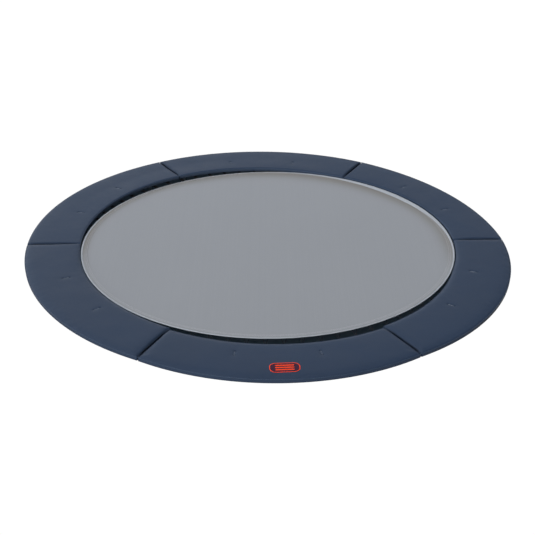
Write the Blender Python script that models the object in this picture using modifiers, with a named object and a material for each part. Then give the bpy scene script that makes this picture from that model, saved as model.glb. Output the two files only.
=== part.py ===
"""Flush round garden trampoline: a sprung jump mat in a low tube frame, ringed by six flat edge pads.

Metres, +Z up. The feet stand on z = 0 below the middle of the pad ring. Run it with
blender --background --python part.py, or from Blender's text editor.
"""

import math

import bmesh
import bpy
from mathutils import Matrix, Vector

# Driving sizes
SECTORS = 6
SECTOR = 2 * math.pi / SECTORS
PAD_TURN = math.radians(1.8)          # how far the pad ring has turned on the frame
PAD_OUTER = 1.985
PAD_INNER = 1.546
PAD_TOP = 0.300
PAD_THICK = 0.032
PAD_GAP = 0.002                       # left between two pads at their seam
PAD_STEPS = 20                        # straight runs along a pad's curved edge
PAD_LAY_ACROSS = 0.026                # out of round along the axes
PAD_LAY_ASKEW = 0.034                 # and along the diagonals
PAD_TO_MAT = 0.006                    # least air between a pad and the mat's edge
PAD_SEAMS = (0.3, 0.6, -1.5, -0.9, 1.8, 0.2)            # degrees that each seam is off its even place
PAD_BOWS = (-0.022, 0.010, -0.002, 0.006, 0.034, 0.010)  # how far out each pad's outer edge bows
PAD_SLIPS = (0.0, 0.0, 0.0, 0.0, 0.020, 0.0)            # how far out each inner edge has slipped

MAT_CENTRE = Vector((0.018, 0.009, 0.0))
MAT_OUTER = 1.525                     # outer edge of the hem
HEM_WIDTH = 0.036
MAT_TOP = 0.296
MAT_THICK = 0.005
HEM_PROUD = 0.001                     # hem stands this much above and below the mat
ROUND_STEPS = 72

RAIL_RING = 1.800                     # middle line of the frame's tube
RAIL_RADIUS = 0.024
RAIL_WALL = 0.002
RAIL_Z = 0.2365
RAIL_STEPS = 10
RAIL_JOINT_GAP = 0.004                # between the ends of two rails
SLEEVE_RADIUS = 0.0285
SLEEVE_HALF_ANGLE = math.radians(1.8)

LEG_RADIUS = 0.021
LEG_WALL = 0.0015
LEG_HALF_SPAN = 0.180
LEG_BEND = 0.070
LEG_BEND_STEPS = 3
LEG_TOP_CLEAR = 0.001                 # below the rail's tube
STUB_RADIUS = 0.0175                  # peg welded under the rail, inside the leg
STUB_LENGTH = 0.065
STUB_SUNK = 0.006                     # how far it starts inside the rail
STUB_SIDES = 10
FOOT_SIZE = Vector((0.300, 0.090, 0.008))

SPRINGS_PER_SET = 12
SPRING_Z = 0.250
SPRING_RADIUS = 0.011
SPRING_BODY = (0.045, 0.215)          # coils' start and end, outwards from the mat's edge
HOOK_RADIUS = 0.003
RING_WIRE_RADIUS = 0.004
RING_SHARE = 0.6                      # of the way from the mat's rim to the coils
HOOK_CLEAR = 0.0015                   # between hook and rail
WEBBING_OUTER = 1.500
WEBBING_WIDTH = 0.032
WEBBING_THICK = 0.004
WEBBING_STEPS = 12

STRAP_ANGLE = math.radians(10)        # each side of a pad's middle
STRAP_WIDTH = 0.030
STRAP_INNER = 0.0268
STRAP_THICK = 0.0022
STRAP_SIDES = 10

TOUCH = 0.0005                        # air between pieces that rest on each other


def clear_scene():
    """Empty the file of objects."""
    for old in list(bpy.data.objects):
        bpy.data.objects.remove(old, do_unlink=True)


def new_collection(name):
    """Return a fresh collection linked to the scene."""
    made = bpy.data.collections.new(name)
    bpy.context.scene.collection.children.link(made)
    return made


def new_material(name, colour, roughness, metallic=0.0):
    """Return a Principled material of one colour."""
    made = bpy.data.materials.new(name)
    made.use_nodes = True
    shader = made.node_tree.nodes["Principled BSDF"]
    shader.inputs["Base Color"].default_value = (*colour, 1.0)
    shader.inputs["Roughness"].default_value = roughness
    shader.inputs["Metallic"].default_value = metallic
    return made


def keep(name, mesh, material, group):
    """Link a mesh as a named object of the collection, in its material."""
    made = bpy.data.objects.new(name, mesh)
    if material:
        mesh.materials.clear()
        mesh.materials.append(material)
    group.objects.link(made)
    return made


def smooth(piece, angle=math.radians(40)):
    """Shade a round piece smooth but for its real edges."""
    piece.data.shade_smooth()
    piece.data.set_sharp_from_angle(angle=angle)


def add_modifier(piece, kind, **values):
    """Add a modifier and set its values."""
    made = piece.modifiers.new(kind.title(), kind)
    for key, value in values.items():
        setattr(made, key, value)
    return made


def unite(piece, other):
    """Join another solid to the piece; the other object is kept as a guide only."""
    other.hide_render = True
    other.display_type = "WIRE"
    add_modifier(piece, "BOOLEAN", operation="UNION", object=other, solver="EXACT")


def polar(radius, angle, z, centre=Vector((0, 0, 0))):
    """Return the point at a radius and an angle round a centre."""
    return centre + Vector((radius * math.cos(angle), radius * math.sin(angle), z))


def pad_lay(angle):
    """How far outwards the pad ring lies off its true circle at an angle.

    The pads are only strapped down, so the ring they form is a few centimetres out of round.
    """
    return -PAD_LAY_ACROSS * math.cos(2 * angle) - PAD_LAY_ASKEW * math.sin(2 * angle)


def seam_angle(number):
    """Return the angle of the seam before a pad, as laid by hand."""
    return PAD_TURN + number * SECTOR + math.radians(PAD_SEAMS[number % SECTORS])


def pad_middle(number):
    """Return the angle halfway between a pad's two seams."""
    return (seam_angle(number) + seam_angle(number + 1)) / 2


def pad_edge(radius, angle):
    """Return a point of the pad ring's plan, kept clear of the mat's edge."""
    away = Vector((math.cos(angle), math.sin(angle), 0))
    along = MAT_CENTRE.dot(away)
    across = MAT_CENTRE.cross(away).length
    nearest = along + math.sqrt((MAT_OUTER + PAD_TO_MAT) ** 2 - across ** 2)
    return away * max(radius + pad_lay(angle), nearest)


def wire_mesh(name, runs, radius, sides=2, capped=True):
    """Return the mesh of round wires along runs of (point, share of radius), caps welded on."""
    curve = bpy.data.curves.new(name, "CURVE")
    curve.dimensions = "3D"
    curve.bevel_depth = radius
    curve.bevel_resolution = sides
    curve.use_fill_caps = capped
    for run in runs:
        spline = curve.splines.new("POLY")
        spline.points.add(len(run) - 1)
        for point, (place, share) in zip(spline.points, run):
            point.co = (*place, 1.0)
            point.radius = share
    guide = bpy.data.objects.new(name, curve)
    bpy.context.scene.collection.objects.link(guide)
    shown = guide.evaluated_get(bpy.context.evaluated_depsgraph_get())
    mesh = bpy.data.meshes.new_from_object(shown)
    bpy.data.objects.remove(guide)
    bm = bmesh.new()
    bm.from_mesh(mesh)
    bmesh.ops.remove_doubles(bm, verts=bm.verts, dist=0.00005)
    bmesh.ops.recalc_face_normals(bm, faces=bm.faces)
    bm.to_mesh(mesh)
    bm.free()
    return mesh


def hollow_tube(name, points, radius, wall, material, group):
    """Make an open-ended tube along points, its wall inside the given radius."""
    mesh = wire_mesh(name, [[(p, 1.0) for p in points]], radius, capped=False)
    piece = keep(name, mesh, material, group)
    add_modifier(piece, "SOLIDIFY", thickness=wall, offset=-1.0)
    smooth(piece)
    return piece


def rail_point(angle, start):
    """Return a point on the straight runs that a rail starting at an angle is bent in."""
    step = SECTOR / RAIL_STEPS
    number = math.floor((angle - start) / step + 1e-9)
    share = (angle - start) / step - number
    here = polar(RAIL_RING, start + number * step, RAIL_Z)
    after = polar(RAIL_RING, start + (number + 1) * step, RAIL_Z)
    return here.lerp(after, share)


def make_rails(material, group, guides):
    """Make the six curved top rails, each with two pegs for its leg."""
    for number in range(SECTORS):
        middle = PAD_TURN + number * SECTOR
        start = middle - SECTOR / 2
        trim = RAIL_JOINT_GAP / 2 / RAIL_RING
        angles = [start + k * SECTOR / RAIL_STEPS for k in range(RAIL_STEPS + 1)]
        angles[0] += trim
        angles[-1] -= trim
        points = [rail_point(a, start) for a in angles]
        rail = hollow_tube(f"top_rail_{number + 1}", points, RAIL_RADIUS, RAIL_WALL, material, group)
        side = math.asin(LEG_HALF_SPAN / RAIL_RING)
        for label, turn in (("a", -side), ("b", side)):
            bm = bmesh.new()
            bmesh.ops.create_cone(
                bm, cap_ends=True, segments=STUB_SIDES, radius1=STUB_RADIUS, radius2=STUB_RADIUS,
                depth=STUB_LENGTH,
            )
            foot = rail_point(middle + turn, start)
            drop = RAIL_Z - RAIL_RADIUS + STUB_SUNK - STUB_LENGTH / 2
            bmesh.ops.translate(bm, vec=(foot.x, foot.y, drop), verts=bm.verts)
            mesh = bpy.data.meshes.new(f"peg_{number + 1}{label}")
            bm.to_mesh(mesh)
            bm.free()
            unite(rail, keep(mesh.name, mesh, None, guides))


def make_sleeves(material, group):
    """Make the six sleeves that close the joints between the rails."""
    for number in range(SECTORS):
        joint = PAD_TURN + (number + 0.5) * SECTOR
        run = (-SLEEVE_HALF_ANGLE, 0.0, SLEEVE_HALF_ANGLE)
        points = [rail_point(joint + a, joint - SECTOR) for a in run]
        hollow_tube(f"rail_sleeve_{number + 1}", points, SLEEVE_RADIUS, RAIL_WALL, material, group)


def make_legs(material, foot_material, group):
    """Make the six U-shaped legs and the flat foot under each."""
    top = RAIL_Z - RAIL_RADIUS - LEG_TOP_CLEAR
    base = FOOT_SIZE.z + TOUCH + LEG_RADIUS
    for number in range(SECTORS):
        middle = PAD_TURN + number * SECTOR
        start = middle - SECTOR / 2
        side = math.asin(LEG_HALF_SPAN / RAIL_RING)
        first = rail_point(middle - side, start)
        last = rail_point(middle + side, start)
        along = (last - first).normalized()
        down = Vector((0, 0, -1))
        points = [Vector((first.x, first.y, top))]
        for corner, outwards in ((first, along), (last, -along)):
            hub = Vector((corner.x, corner.y, base + LEG_BEND)) + outwards * LEG_BEND
            for k in range(LEG_BEND_STEPS + 1):
                turn = k / LEG_BEND_STEPS * math.pi / 2
                if corner is last:
                    turn = math.pi / 2 - turn
                points.append(hub - outwards * LEG_BEND * math.cos(turn) + down * LEG_BEND * math.sin(turn))
        points.append(Vector((last.x, last.y, top)))
        hollow_tube(f"leg_{number + 1}", points, LEG_RADIUS, LEG_WALL, material, group)

        centre = (first + last) / 2
        bm = bmesh.new()
        bmesh.ops.create_cube(bm, size=1.0)
        bmesh.ops.scale(bm, vec=(FOOT_SIZE.y, FOOT_SIZE.x, FOOT_SIZE.z), verts=bm.verts)
        place = Matrix.Translation((centre.x, centre.y, FOOT_SIZE.z / 2)) @ Matrix.Rotation(middle, 4, "Z")
        bmesh.ops.transform(bm, matrix=place, verts=bm.verts)
        mesh = bpy.data.meshes.new(f"foot_{number + 1}")
        bm.to_mesh(mesh)
        bm.free()
        keep(mesh.name, mesh, foot_material, group)


def make_pads(material, group):
    """Make the six edge pads, plain slabs as wide as the springs and the rail."""
    for number in range(SECTORS):
        outline = []
        for radius, way in ((PAD_OUTER, 1), (PAD_INNER, -1)):
            half = (seam_angle(number + 1) - seam_angle(number)) / 2 - PAD_GAP / 2 / radius
            for k in range(PAD_STEPS + 1):
                share = way * (2 * k / PAD_STEPS - 1)
                shift = PAD_BOWS[number] * (1 - share ** 2) if way > 0 else PAD_SLIPS[number]
                outline.append(pad_edge(radius + shift, pad_middle(number) + share * half))
        curve = bpy.data.curves.new(f"pad_outline_{number + 1}", "CURVE")
        curve.dimensions = "2D"
        curve.fill_mode = "BOTH"
        curve.extrude = PAD_THICK / 2
        spline = curve.splines.new("POLY")
        spline.use_cyclic_u = True
        spline.points.add(len(outline) - 1)
        for point, place in zip(spline.points, outline):
            point.co = (place.x, place.y, 0.0, 1.0)
        guide = bpy.data.objects.new("pad_outline", curve)
        bpy.context.scene.collection.objects.link(guide)
        mesh = bpy.data.meshes.new_from_object(guide.evaluated_get(bpy.context.evaluated_depsgraph_get()))
        bpy.data.objects.remove(guide)
        bm = bmesh.new()
        bm.from_mesh(mesh)
        bmesh.ops.remove_doubles(bm, verts=bm.verts, dist=0.0001)
        bmesh.ops.translate(bm, vec=(0, 0, PAD_TOP - PAD_THICK / 2), verts=bm.verts)
        bmesh.ops.recalc_face_normals(bm, faces=bm.faces)
        bm.to_mesh(mesh)
        bm.free()
        keep(f"edge_pad_{number + 1}", mesh, material, group)


def make_straps(material, group):
    """Make the two elastic loops under each pad that hold it to the rail."""
    for number in range(SECTORS):
        start = PAD_TURN + (number - 0.5) * SECTOR
        for label, turn in (("a", -STRAP_ANGLE), ("b", STRAP_ANGLE)):
            bm = bmesh.new()
            bmesh.ops.create_circle(bm, segments=STRAP_SIDES, radius=STRAP_INNER)
            edges = list(bm.edges)
            made = bmesh.ops.extrude_edge_only(bm, edges=edges)["geom"]
            far = [v for v in made if isinstance(v, bmesh.types.BMVert)]
            bmesh.ops.translate(bm, vec=(0, 0, STRAP_WIDTH), verts=far)
            bmesh.ops.translate(bm, vec=(0, 0, -STRAP_WIDTH / 2), verts=bm.verts)
            bmesh.ops.recalc_face_normals(bm, faces=bm.faces)
            angle = pad_middle(number) + turn
            place = (
                Matrix.Translation(rail_point(angle, start))
                @ Matrix.Rotation(angle, 4, "Z")
                @ Matrix.Rotation(math.pi / 2, 4, "X")
            )
            bmesh.ops.transform(bm, matrix=place, verts=bm.verts)
            name = f"pad_strap_{number + 1}{label}"
            mesh = bpy.data.meshes.new(name)
            bm.to_mesh(mesh)
            bm.free()
            piece = keep(name, mesh, material, group)
            add_modifier(piece, "SOLIDIFY", thickness=STRAP_THICK, offset=1.0)


def make_mat(mat_material, hem_material, group):
    """Make the jump mat and the hem that binds its edge."""
    inner = MAT_OUTER - HEM_WIDTH
    bpy.ops.mesh.primitive_cylinder_add(
        vertices=ROUND_STEPS, radius=inner - TOUCH, depth=MAT_THICK,
        location=MAT_CENTRE + Vector((0, 0, MAT_TOP - MAT_THICK / 2)),
    )
    mat = bpy.context.object
    mat.name = "jump_mat"
    mat.data.materials.append(mat_material)
    for old in list(mat.users_collection):
        old.objects.unlink(mat)
    group.objects.link(mat)

    top = MAT_TOP + HEM_PROUD
    bottom = MAT_TOP - MAT_THICK - HEM_PROUD
    corners = ((inner, top), (MAT_OUTER, top), (MAT_OUTER, bottom), (inner, bottom), (inner, top))
    bm = bmesh.new()
    row = [bm.verts.new((x, 0, z)) for x, z in corners]
    for a, b in zip(row, row[1:]):
        bm.edges.new((a, b))
    mesh = bpy.data.meshes.new("mat_hem")
    bm.to_mesh(mesh)
    bm.free()
    hem = keep("mat_hem", mesh, hem_material, group)
    hem.location = MAT_CENTRE
    add_modifier(
        hem, "SCREW", angle=2 * math.pi, steps=ROUND_STEPS, render_steps=ROUND_STEPS, axis="Z",
        use_merge_vertices=True, merge_threshold=0.0001,
    )
    smooth(hem)


def make_spring_sets(material, group, guides):
    """Make the six sets of twelve springs, each set joined by its webbing under the mat's edge."""
    bottom = MAT_TOP - MAT_THICK - HEM_PROUD - TOUCH - WEBBING_THICK
    pitch = SECTOR / SPRINGS_PER_SET
    for number in range(SECTORS):
        start = PAD_TURN + number * SECTOR
        half_gap = TOUCH / WEBBING_OUTER
        bm = bmesh.new()
        row = []
        for x in (WEBBING_OUTER - WEBBING_WIDTH, WEBBING_OUTER):
            for z in (bottom, bottom + WEBBING_THICK):
                place = polar(x, start + half_gap, z)
                row.append(bm.verts.new(place))
        bm.faces.new((row[0], row[2], row[3], row[1]))
        bmesh.ops.spin(
            bm, geom=list(bm.faces) + list(bm.edges) + list(bm.verts), cent=(0, 0, 0), axis=(0, 0, 1),
            angle=SECTOR - 2 * half_gap, steps=WEBBING_STEPS,
        )
        bmesh.ops.holes_fill(bm, edges=[e for e in bm.edges if e.is_boundary], sides=4)
        bmesh.ops.translate(bm, vec=MAT_CENTRE, verts=bm.verts)
        bmesh.ops.remove_doubles(bm, verts=bm.verts, dist=0.00005)
        bmesh.ops.recalc_face_normals(bm, faces=bm.faces)
        mesh = bpy.data.meshes.new(f"spring_set_{number + 1}")
        bm.to_mesh(mesh)
        bm.free()
        webbing = keep(mesh.name, mesh, material, group)

        runs = []
        for k in range(SPRINGS_PER_SET):
            angle = start + (k + 0.5) * pitch
            sewn = polar(WEBBING_OUTER - WEBBING_WIDTH / 2, angle, bottom + WEBBING_THICK / 2, MAT_CENTRE)
            rim = polar(MAT_OUTER, angle, SPRING_Z, MAT_CENTRE)
            hooked = polar(RAIL_RING - RAIL_RADIUS - HOOK_CLEAR, angle, SPRING_Z)
            out = (hooked - rim).normalized()
            runs.append([
                (sewn, RING_WIRE_RADIUS / SPRING_RADIUS),
                (rim + out * SPRING_BODY[0] * RING_SHARE, RING_WIRE_RADIUS / SPRING_RADIUS),
                (rim + out * SPRING_BODY[0], 1.0),
                (rim + out * SPRING_BODY[1], 1.0),
                (hooked, HOOK_RADIUS / SPRING_RADIUS),
            ])
        coils = keep(f"coils_{number + 1}", wire_mesh("coils", runs, SPRING_RADIUS, sides=1), None, guides)
        unite(webbing, coils)


def main():
    """Build the whole trampoline."""
    clear_scene()
    parts = new_collection("flush_trampoline")
    guides = new_collection("guides")
    galvanised = new_material("galvanised_steel", (0.55, 0.56, 0.58), 0.45, 1.0)
    coated = new_material("coated_spring_steel", (0.05, 0.05, 0.055), 0.4, 0.6)
    rubber = new_material("black_rubber", (0.02, 0.02, 0.02), 0.8)
    vinyl = new_material("navy_vinyl", (0.055, 0.075, 0.105), 0.4)
    weave = new_material("grey_mat_weave", (0.29, 0.31, 0.33), 0.7)
    hem = new_material("grey_hem_webbing", (0.34, 0.36, 0.38), 0.75)
    elastic = new_material("black_elastic", (0.02, 0.02, 0.022), 0.8)

    make_rails(galvanised, parts, guides)
    make_sleeves(galvanised, parts)
    make_legs(galvanised, rubber, parts)
    make_spring_sets(coated, parts, guides)
    make_mat(weave, hem, parts)
    make_pads(vinyl, parts)
    make_straps(elastic, parts)


main()
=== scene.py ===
"""Looks of the flush garden trampoline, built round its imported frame. Metres, +Z up."""

from __future__ import annotations

import logging
import math
from dataclasses import dataclass
from enum import Enum
from typing import Callable, Sequence

import bmesh
import bpy
import numpy as np
from mathutils import Matrix, Vector, noise

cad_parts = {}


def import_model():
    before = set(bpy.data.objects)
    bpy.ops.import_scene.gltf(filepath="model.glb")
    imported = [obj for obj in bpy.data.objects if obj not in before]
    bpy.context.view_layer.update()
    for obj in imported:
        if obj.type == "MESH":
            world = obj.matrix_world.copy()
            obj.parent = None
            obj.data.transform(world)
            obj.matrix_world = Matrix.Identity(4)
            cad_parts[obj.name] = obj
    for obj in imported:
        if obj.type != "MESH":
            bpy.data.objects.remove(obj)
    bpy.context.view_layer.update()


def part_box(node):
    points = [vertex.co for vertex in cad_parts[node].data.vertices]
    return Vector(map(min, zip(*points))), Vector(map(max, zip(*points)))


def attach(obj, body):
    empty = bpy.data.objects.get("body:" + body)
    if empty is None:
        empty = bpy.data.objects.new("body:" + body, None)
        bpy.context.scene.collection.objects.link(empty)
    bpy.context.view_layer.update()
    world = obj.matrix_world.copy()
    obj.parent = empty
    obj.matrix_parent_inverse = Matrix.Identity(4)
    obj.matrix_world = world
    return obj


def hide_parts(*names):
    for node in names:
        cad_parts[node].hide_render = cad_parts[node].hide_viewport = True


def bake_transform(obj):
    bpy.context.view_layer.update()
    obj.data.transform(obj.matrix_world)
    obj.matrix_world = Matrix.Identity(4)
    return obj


LOG = logging.getLogger("trampoline")

SECTORS = 6
SECTOR = 2 * math.pi / SECTORS
PAD_TURN = math.radians(1.8)
SEAM_LIES = (0.3, 0.6, -1.5, -0.9, 1.8, 0.2)  # degrees that each seam is off its even place
PAD_BOWS = (-0.022, 0.010, -0.002, 0.006, 0.034, 0.010)  # how far out each pad's outer edge bows
PAD_SLIPS = (0.0, 0.0, 0.0, 0.0, 0.020, 0.0)  # how far out each inner edge has slipped
MM = 0.001


class Body(Enum):
    """The rigid bodies that a piece can ride on."""

    FRAME = "frame"
    BED = "jump_bed"


class Slot(Enum):
    """The record's material slots."""

    TUBE = "galvanised_tube"
    RUBBER = "foot_rubber"
    SPRING = "coated_spring"
    VINYL = "pad_vinyl"
    ELASTIC = "strap_elastic"
    WEAVE = "mat_weave"
    HEM = "hem_webbing"
    BADGE = "pad_badge"


# ---------------------------------------------------------------- shader nodes


class Recipe:
    """Adds and links the nodes of one shader tree."""

    def __init__(self, tree: bpy.types.NodeTree) -> None:
        """Start on a tree.

        Args:
            tree: The material's or the group's node tree.
        """
        self.tree = tree

    def add(self, kind: str, inputs: dict | None = None, **settings: object) -> bpy.types.Node:
        """Add a node.

        Args:
            kind: The node's type name, without its ShaderNode prefix.
            inputs: Values, or sockets to link from, by input name or number.
            settings: Properties to set on the node.

        Returns:
            The new node.
        """
        node = self.tree.nodes.new("ShaderNode" + kind)
        for key, value in settings.items():
            setattr(node, key, value)
        for key, value in (inputs or {}).items():
            if isinstance(value, bpy.types.NodeSocket):
                self.tree.links.new(value, node.inputs[key])
            else:
                node.inputs[key].default_value = value
        return node

    def sums(self, operation: str, *values: object, clamp: bool = False) -> bpy.types.NodeSocket:
        """Return the result of a math node on numbers or sockets."""
        node = self.add("Math", dict(enumerate(values)), operation=operation, use_clamp=clamp)
        return node.outputs[0]

    def blend(self, share: object, low: object, high: object) -> bpy.types.NodeSocket:
        """Return a colour mixed between two by a share."""
        node = self.add("Mix", {0: share, 6: low, 7: high}, data_type="RGBA")
        return node.outputs[2]

    def spread(self, value: object, low: float, high: float) -> bpy.types.NodeSocket:
        """Return a 0 to 1 value mapped to a range."""
        node = self.add("MapRange", {0: value, 3: low, 4: high})
        return node.outputs[0]


class Effects:
    """The shader effects that several finishes share, each built once as a node group."""

    made: dict[str, bpy.types.NodeTree] = {}

    @classmethod
    def group(
        cls,
        name: str,
        inputs: Sequence[tuple[str, str, float]],
        outputs: Sequence[tuple[str, str]],
        fill: Callable[[Recipe, bpy.types.Node, bpy.types.Node], None],
    ) -> bpy.types.NodeTree:
        """Build a group the first time it is asked for.

        Args:
            name: The effect's name.
            inputs: Name, socket type and default of each input.
            outputs: Name and socket type of each output.
            fill: Places the group's nodes between its two ends.

        Returns:
            The group's tree.
        """
        if name not in cls.made:
            tree = bpy.data.node_groups.new(name, "ShaderNodeTree")
            for label, kind, default in inputs:
                socket = tree.interface.new_socket(label, in_out="INPUT", socket_type="NodeSocket" + kind)
                if kind == "Float":
                    socket.default_value = default
            for label, kind in outputs:
                tree.interface.new_socket(label, in_out="OUTPUT", socket_type="NodeSocket" + kind)
            ends = tree.nodes.new("NodeGroupInput"), tree.nodes.new("NodeGroupOutput")
            fill(Recipe(tree), *ends)
            cls.made[name] = tree
        return cls.made[name]

    @classmethod
    def weave(cls) -> bpy.types.NodeTree:
        """Return plain-woven flat threads: Height, and Tone that differs from thread to thread.

        Returns:
            The shared effect, made once.
        """

        def fill(r: Recipe, start: bpy.types.Node, end: bpy.types.Node) -> None:
            """Cross two sets of threads, each over the other in turn.

            Args:
                r: The recipe of the effect's own tree.
                start: The effect's input node.
                end: The effect's output node.
            """
            place = r.add("VectorMath", {0: start.outputs["Vector"], 3: start.outputs["Threads"]}, operation="SCALE")
            axes = r.add("SeparateXYZ", {0: place.outputs[0]}).outputs
            warp = r.sums("ABSOLUTE", r.sums("SINE", r.sums("MULTIPLY", axes[0], math.pi)))
            weft = r.sums("ABSOLUTE", r.sums("SINE", r.sums("MULTIPLY", axes[1], math.pi)))
            cell = r.sums("ADD", r.sums("FLOOR", axes[0]), r.sums("FLOOR", axes[1]))
            over = r.sums("PINGPONG", cell, 1.0)
            high = r.sums("MULTIPLY", warp, r.sums("SUBTRACT", 1.0, over))
            height = r.sums("ADD", high, r.sums("MULTIPLY", weft, over))
            random = r.add("TexWhiteNoise", {"W": r.sums("FLOOR", axes[0])}, noise_dimensions="1D")
            r.tree.links.new(height, end.inputs["Height"])
            r.tree.links.new(random.outputs["Value"], end.inputs["Tone"])

        sockets = (("Vector", "Vector", 0.0), ("Threads", "Float", 400.0))
        return cls.group("woven_threads", sockets, (("Height", "Float"), ("Tone", "Float")), fill)

    @classmethod
    def mottle(cls) -> bpy.types.NodeTree:
        """Return slow uneven patches, such as fading and dust, as a mask about one half.

        Returns:
            The shared effect, made once.
        """

        def fill(r: Recipe, start: bpy.types.Node, end: bpy.types.Node) -> None:
            """Add a fine cloud to a broad one.

            Args:
                r: The recipe of the effect's own tree.
                start: The effect's input node.
                end: The effect's output node.
            """
            broad = r.add(
                "TexNoise",
                {"Vector": start.outputs["Vector"], "Scale": start.outputs["Patches"], "Detail": 4.0},
            )
            fine = r.add(
                "TexNoise",
                {
                    "Vector": start.outputs["Vector"],
                    "Scale": r.sums("MULTIPLY", start.outputs["Patches"], 9.0),
                    "Detail": 3.0,
                },
            )
            both = r.sums("ADD", r.sums("MULTIPLY", broad.outputs[0], 0.7), r.sums("MULTIPLY", fine.outputs[0], 0.3))
            stretched = r.add("MapRange", {0: both, 1: 0.3, 2: 0.7})
            r.tree.links.new(stretched.outputs[0], end.inputs["Mask"])

        return cls.group("mottle", (("Vector", "Vector", 0.0), ("Patches", "Float", 2.0)), (("Mask", "Float"),), fill)

    @classmethod
    def grain(cls) -> bpy.types.NodeTree:
        """Return the fine pebble of a coated or moulded skin as Height.

        Returns:
            The shared effect, made once.
        """

        def fill(r: Recipe, start: bpy.types.Node, end: bpy.types.Node) -> None:
            """Lay small cells over a finer noise.

            Args:
                r: The recipe of the effect's own tree.
                start: The effect's input node.
                end: The effect's output node.
            """
            cells = r.add(
                "TexVoronoi",
                {"Vector": start.outputs["Vector"], "Scale": start.outputs["Pebbles"]},
                feature="SMOOTH_F1",
            )
            fine = r.add(
                "TexNoise",
                {"Vector": start.outputs["Vector"], "Scale": r.sums("MULTIPLY", start.outputs["Pebbles"], 2.7)},
            )
            both = r.sums("ADD", cells.outputs["Distance"], r.sums("MULTIPLY", fine.outputs[0], 0.5))
            r.tree.links.new(both, end.inputs["Height"])

        sockets = (("Vector", "Vector", 0.0), ("Pebbles", "Float", 600.0))
        return cls.group("skin_grain", sockets, (("Height", "Float"),), fill)

    @classmethod
    def ribs(cls) -> bpy.types.NodeTree:
        """Return webbing's ribs along a ring round the mat's middle: Height, and Tone across them.

        Returns:
            The shared effect, made once.
        """

        def fill(r: Recipe, start: bpy.types.Node, end: bpy.types.Node) -> None:
            """Turn the place into round and across, then weave short floats on the ribs.

            Args:
                r: The recipe of the effect's own tree.
                start: The effect's input node.
                end: The effect's output node.
            """
            axes = r.add("SeparateXYZ", {0: start.outputs["Vector"]}).outputs
            across = r.sums("SQRT", r.sums("ADD", r.sums("POWER", axes[0], 2.0), r.sums("POWER", axes[1], 2.0)))
            turn = r.sums("ARCTAN2", axes[1], axes[0])
            rib = r.sums("MULTIPLY", across, start.outputs["Ribs"])
            tooth = r.sums("MULTIPLY", turn, r.sums("MULTIPLY", start.outputs["Ribs"], start.outputs["Radius"]))
            lean = r.sums("ADD", r.sums("MULTIPLY", rib, math.pi), r.sums("MULTIPLY", tooth, math.pi * 0.5))
            height = r.sums("ADD", r.sums("ABSOLUTE", r.sums("SINE", r.sums("MULTIPLY", rib, math.pi))),
                            r.sums("MULTIPLY", r.sums("ABSOLUTE", r.sums("SINE", lean)), 0.6))
            random = r.add("TexWhiteNoise", {"W": r.sums("FLOOR", rib)}, noise_dimensions="1D")
            r.tree.links.new(height, end.inputs["Height"])
            r.tree.links.new(random.outputs["Value"], end.inputs["Tone"])

        sockets = (("Vector", "Vector", 0.0), ("Ribs", "Float", 420.0), ("Radius", "Float", 1.5))
        return cls.group("webbing_ribs", sockets, (("Height", "Float"), ("Tone", "Float")), fill)


@dataclass(frozen=True)
class Finish:
    """A surface finish. Each kind says in dress() how its nodes make it."""

    name: str
    slot: Slot
    colour: tuple[float, float, float]
    roughness: float
    metallic: float = 0.0

    def material(self) -> bpy.types.Material:
        """Return the finish's material, made the first time it is asked for.

        Returns:
            The material.
        """
        made = bpy.data.materials.get(self.name)
        if made is None:
            made = bpy.data.materials.new(self.name)
            made.use_nodes = True
            shader = made.node_tree.nodes["Principled BSDF"]
            shader.inputs["Roughness"].default_value = self.roughness
            shader.inputs["Metallic"].default_value = self.metallic
            shader.inputs["Base Color"].default_value = (*self.colour, 1.0)
            self.dress(Recipe(made.node_tree), shader)
        return made

    def dress(self, r: Recipe, shader: bpy.types.Node) -> None:
        """Link this kind's nodes to the shader."""
        raise NotImplementedError

    def tint(self, factor: float) -> tuple[float, float, float, float]:
        """Return the finish's colour made lighter or darker."""
        return (*(min(1.0, c * factor) for c in self.colour), 1.0)

    @staticmethod
    def place(r: Recipe) -> bpy.types.NodeSocket:
        """Return the Object coordinates."""
        return r.add("TexCoord").outputs["Object"]

    @staticmethod
    def use(r: Recipe, group: bpy.types.NodeTree, inputs: dict) -> bpy.types.Node:
        """Place a shared effect, then set its sockets, which it has once it knows its tree.

        Args:
            r: The recipe of the material.
            group: The effect.
            inputs: What to set on its sockets, by their names.

        Returns:
            The node that holds the effect.
        """
        node = r.add("Group", node_tree=group)
        for key, value in inputs.items():
            if isinstance(value, bpy.types.NodeSocket):
                r.tree.links.new(value, node.inputs[key])
            else:
                node.inputs[key].default_value = value
        return node

    @staticmethod
    def bump(r: Recipe, shader: bpy.types.Node, height: bpy.types.NodeSocket, depth: float, strength: float) -> None:
        """Drive the shader's normal from a height."""
        node = r.add("Bump", {"Height": height, "Distance": depth, "Strength": strength})
        r.tree.links.new(node.outputs[0], shader.inputs["Normal"])


class EdgeShaded(Finish):
    """A finish with painted shade: it darkens towards brown where the mesh's shade attribute says."""

    @staticmethod
    def with_painted_shade(r: Recipe, colour: bpy.types.NodeSocket) -> bpy.types.NodeSocket:
        """Return a colour darkened towards brown by painted shade.

        Args:
            r: The recipe of the material.
            colour: The colour before the painted shade.

        Returns:
            The colour with its painted shade.
        """
        painted_edge_shade = r.add("Attribute", attribute_name="painted_edge_shade").outputs["Fac"]
        # Painted shade: a brownish darkening, full where the attribute is 1.
        shade = r.blend(painted_edge_shade, (1, 1, 1, 1), (0.67, 0.61, 0.53, 1))
        return r.add("Mix", {0: 1.0, 6: colour, 7: shade}, data_type="RGBA", blend_type="MULTIPLY").outputs[2]


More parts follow.
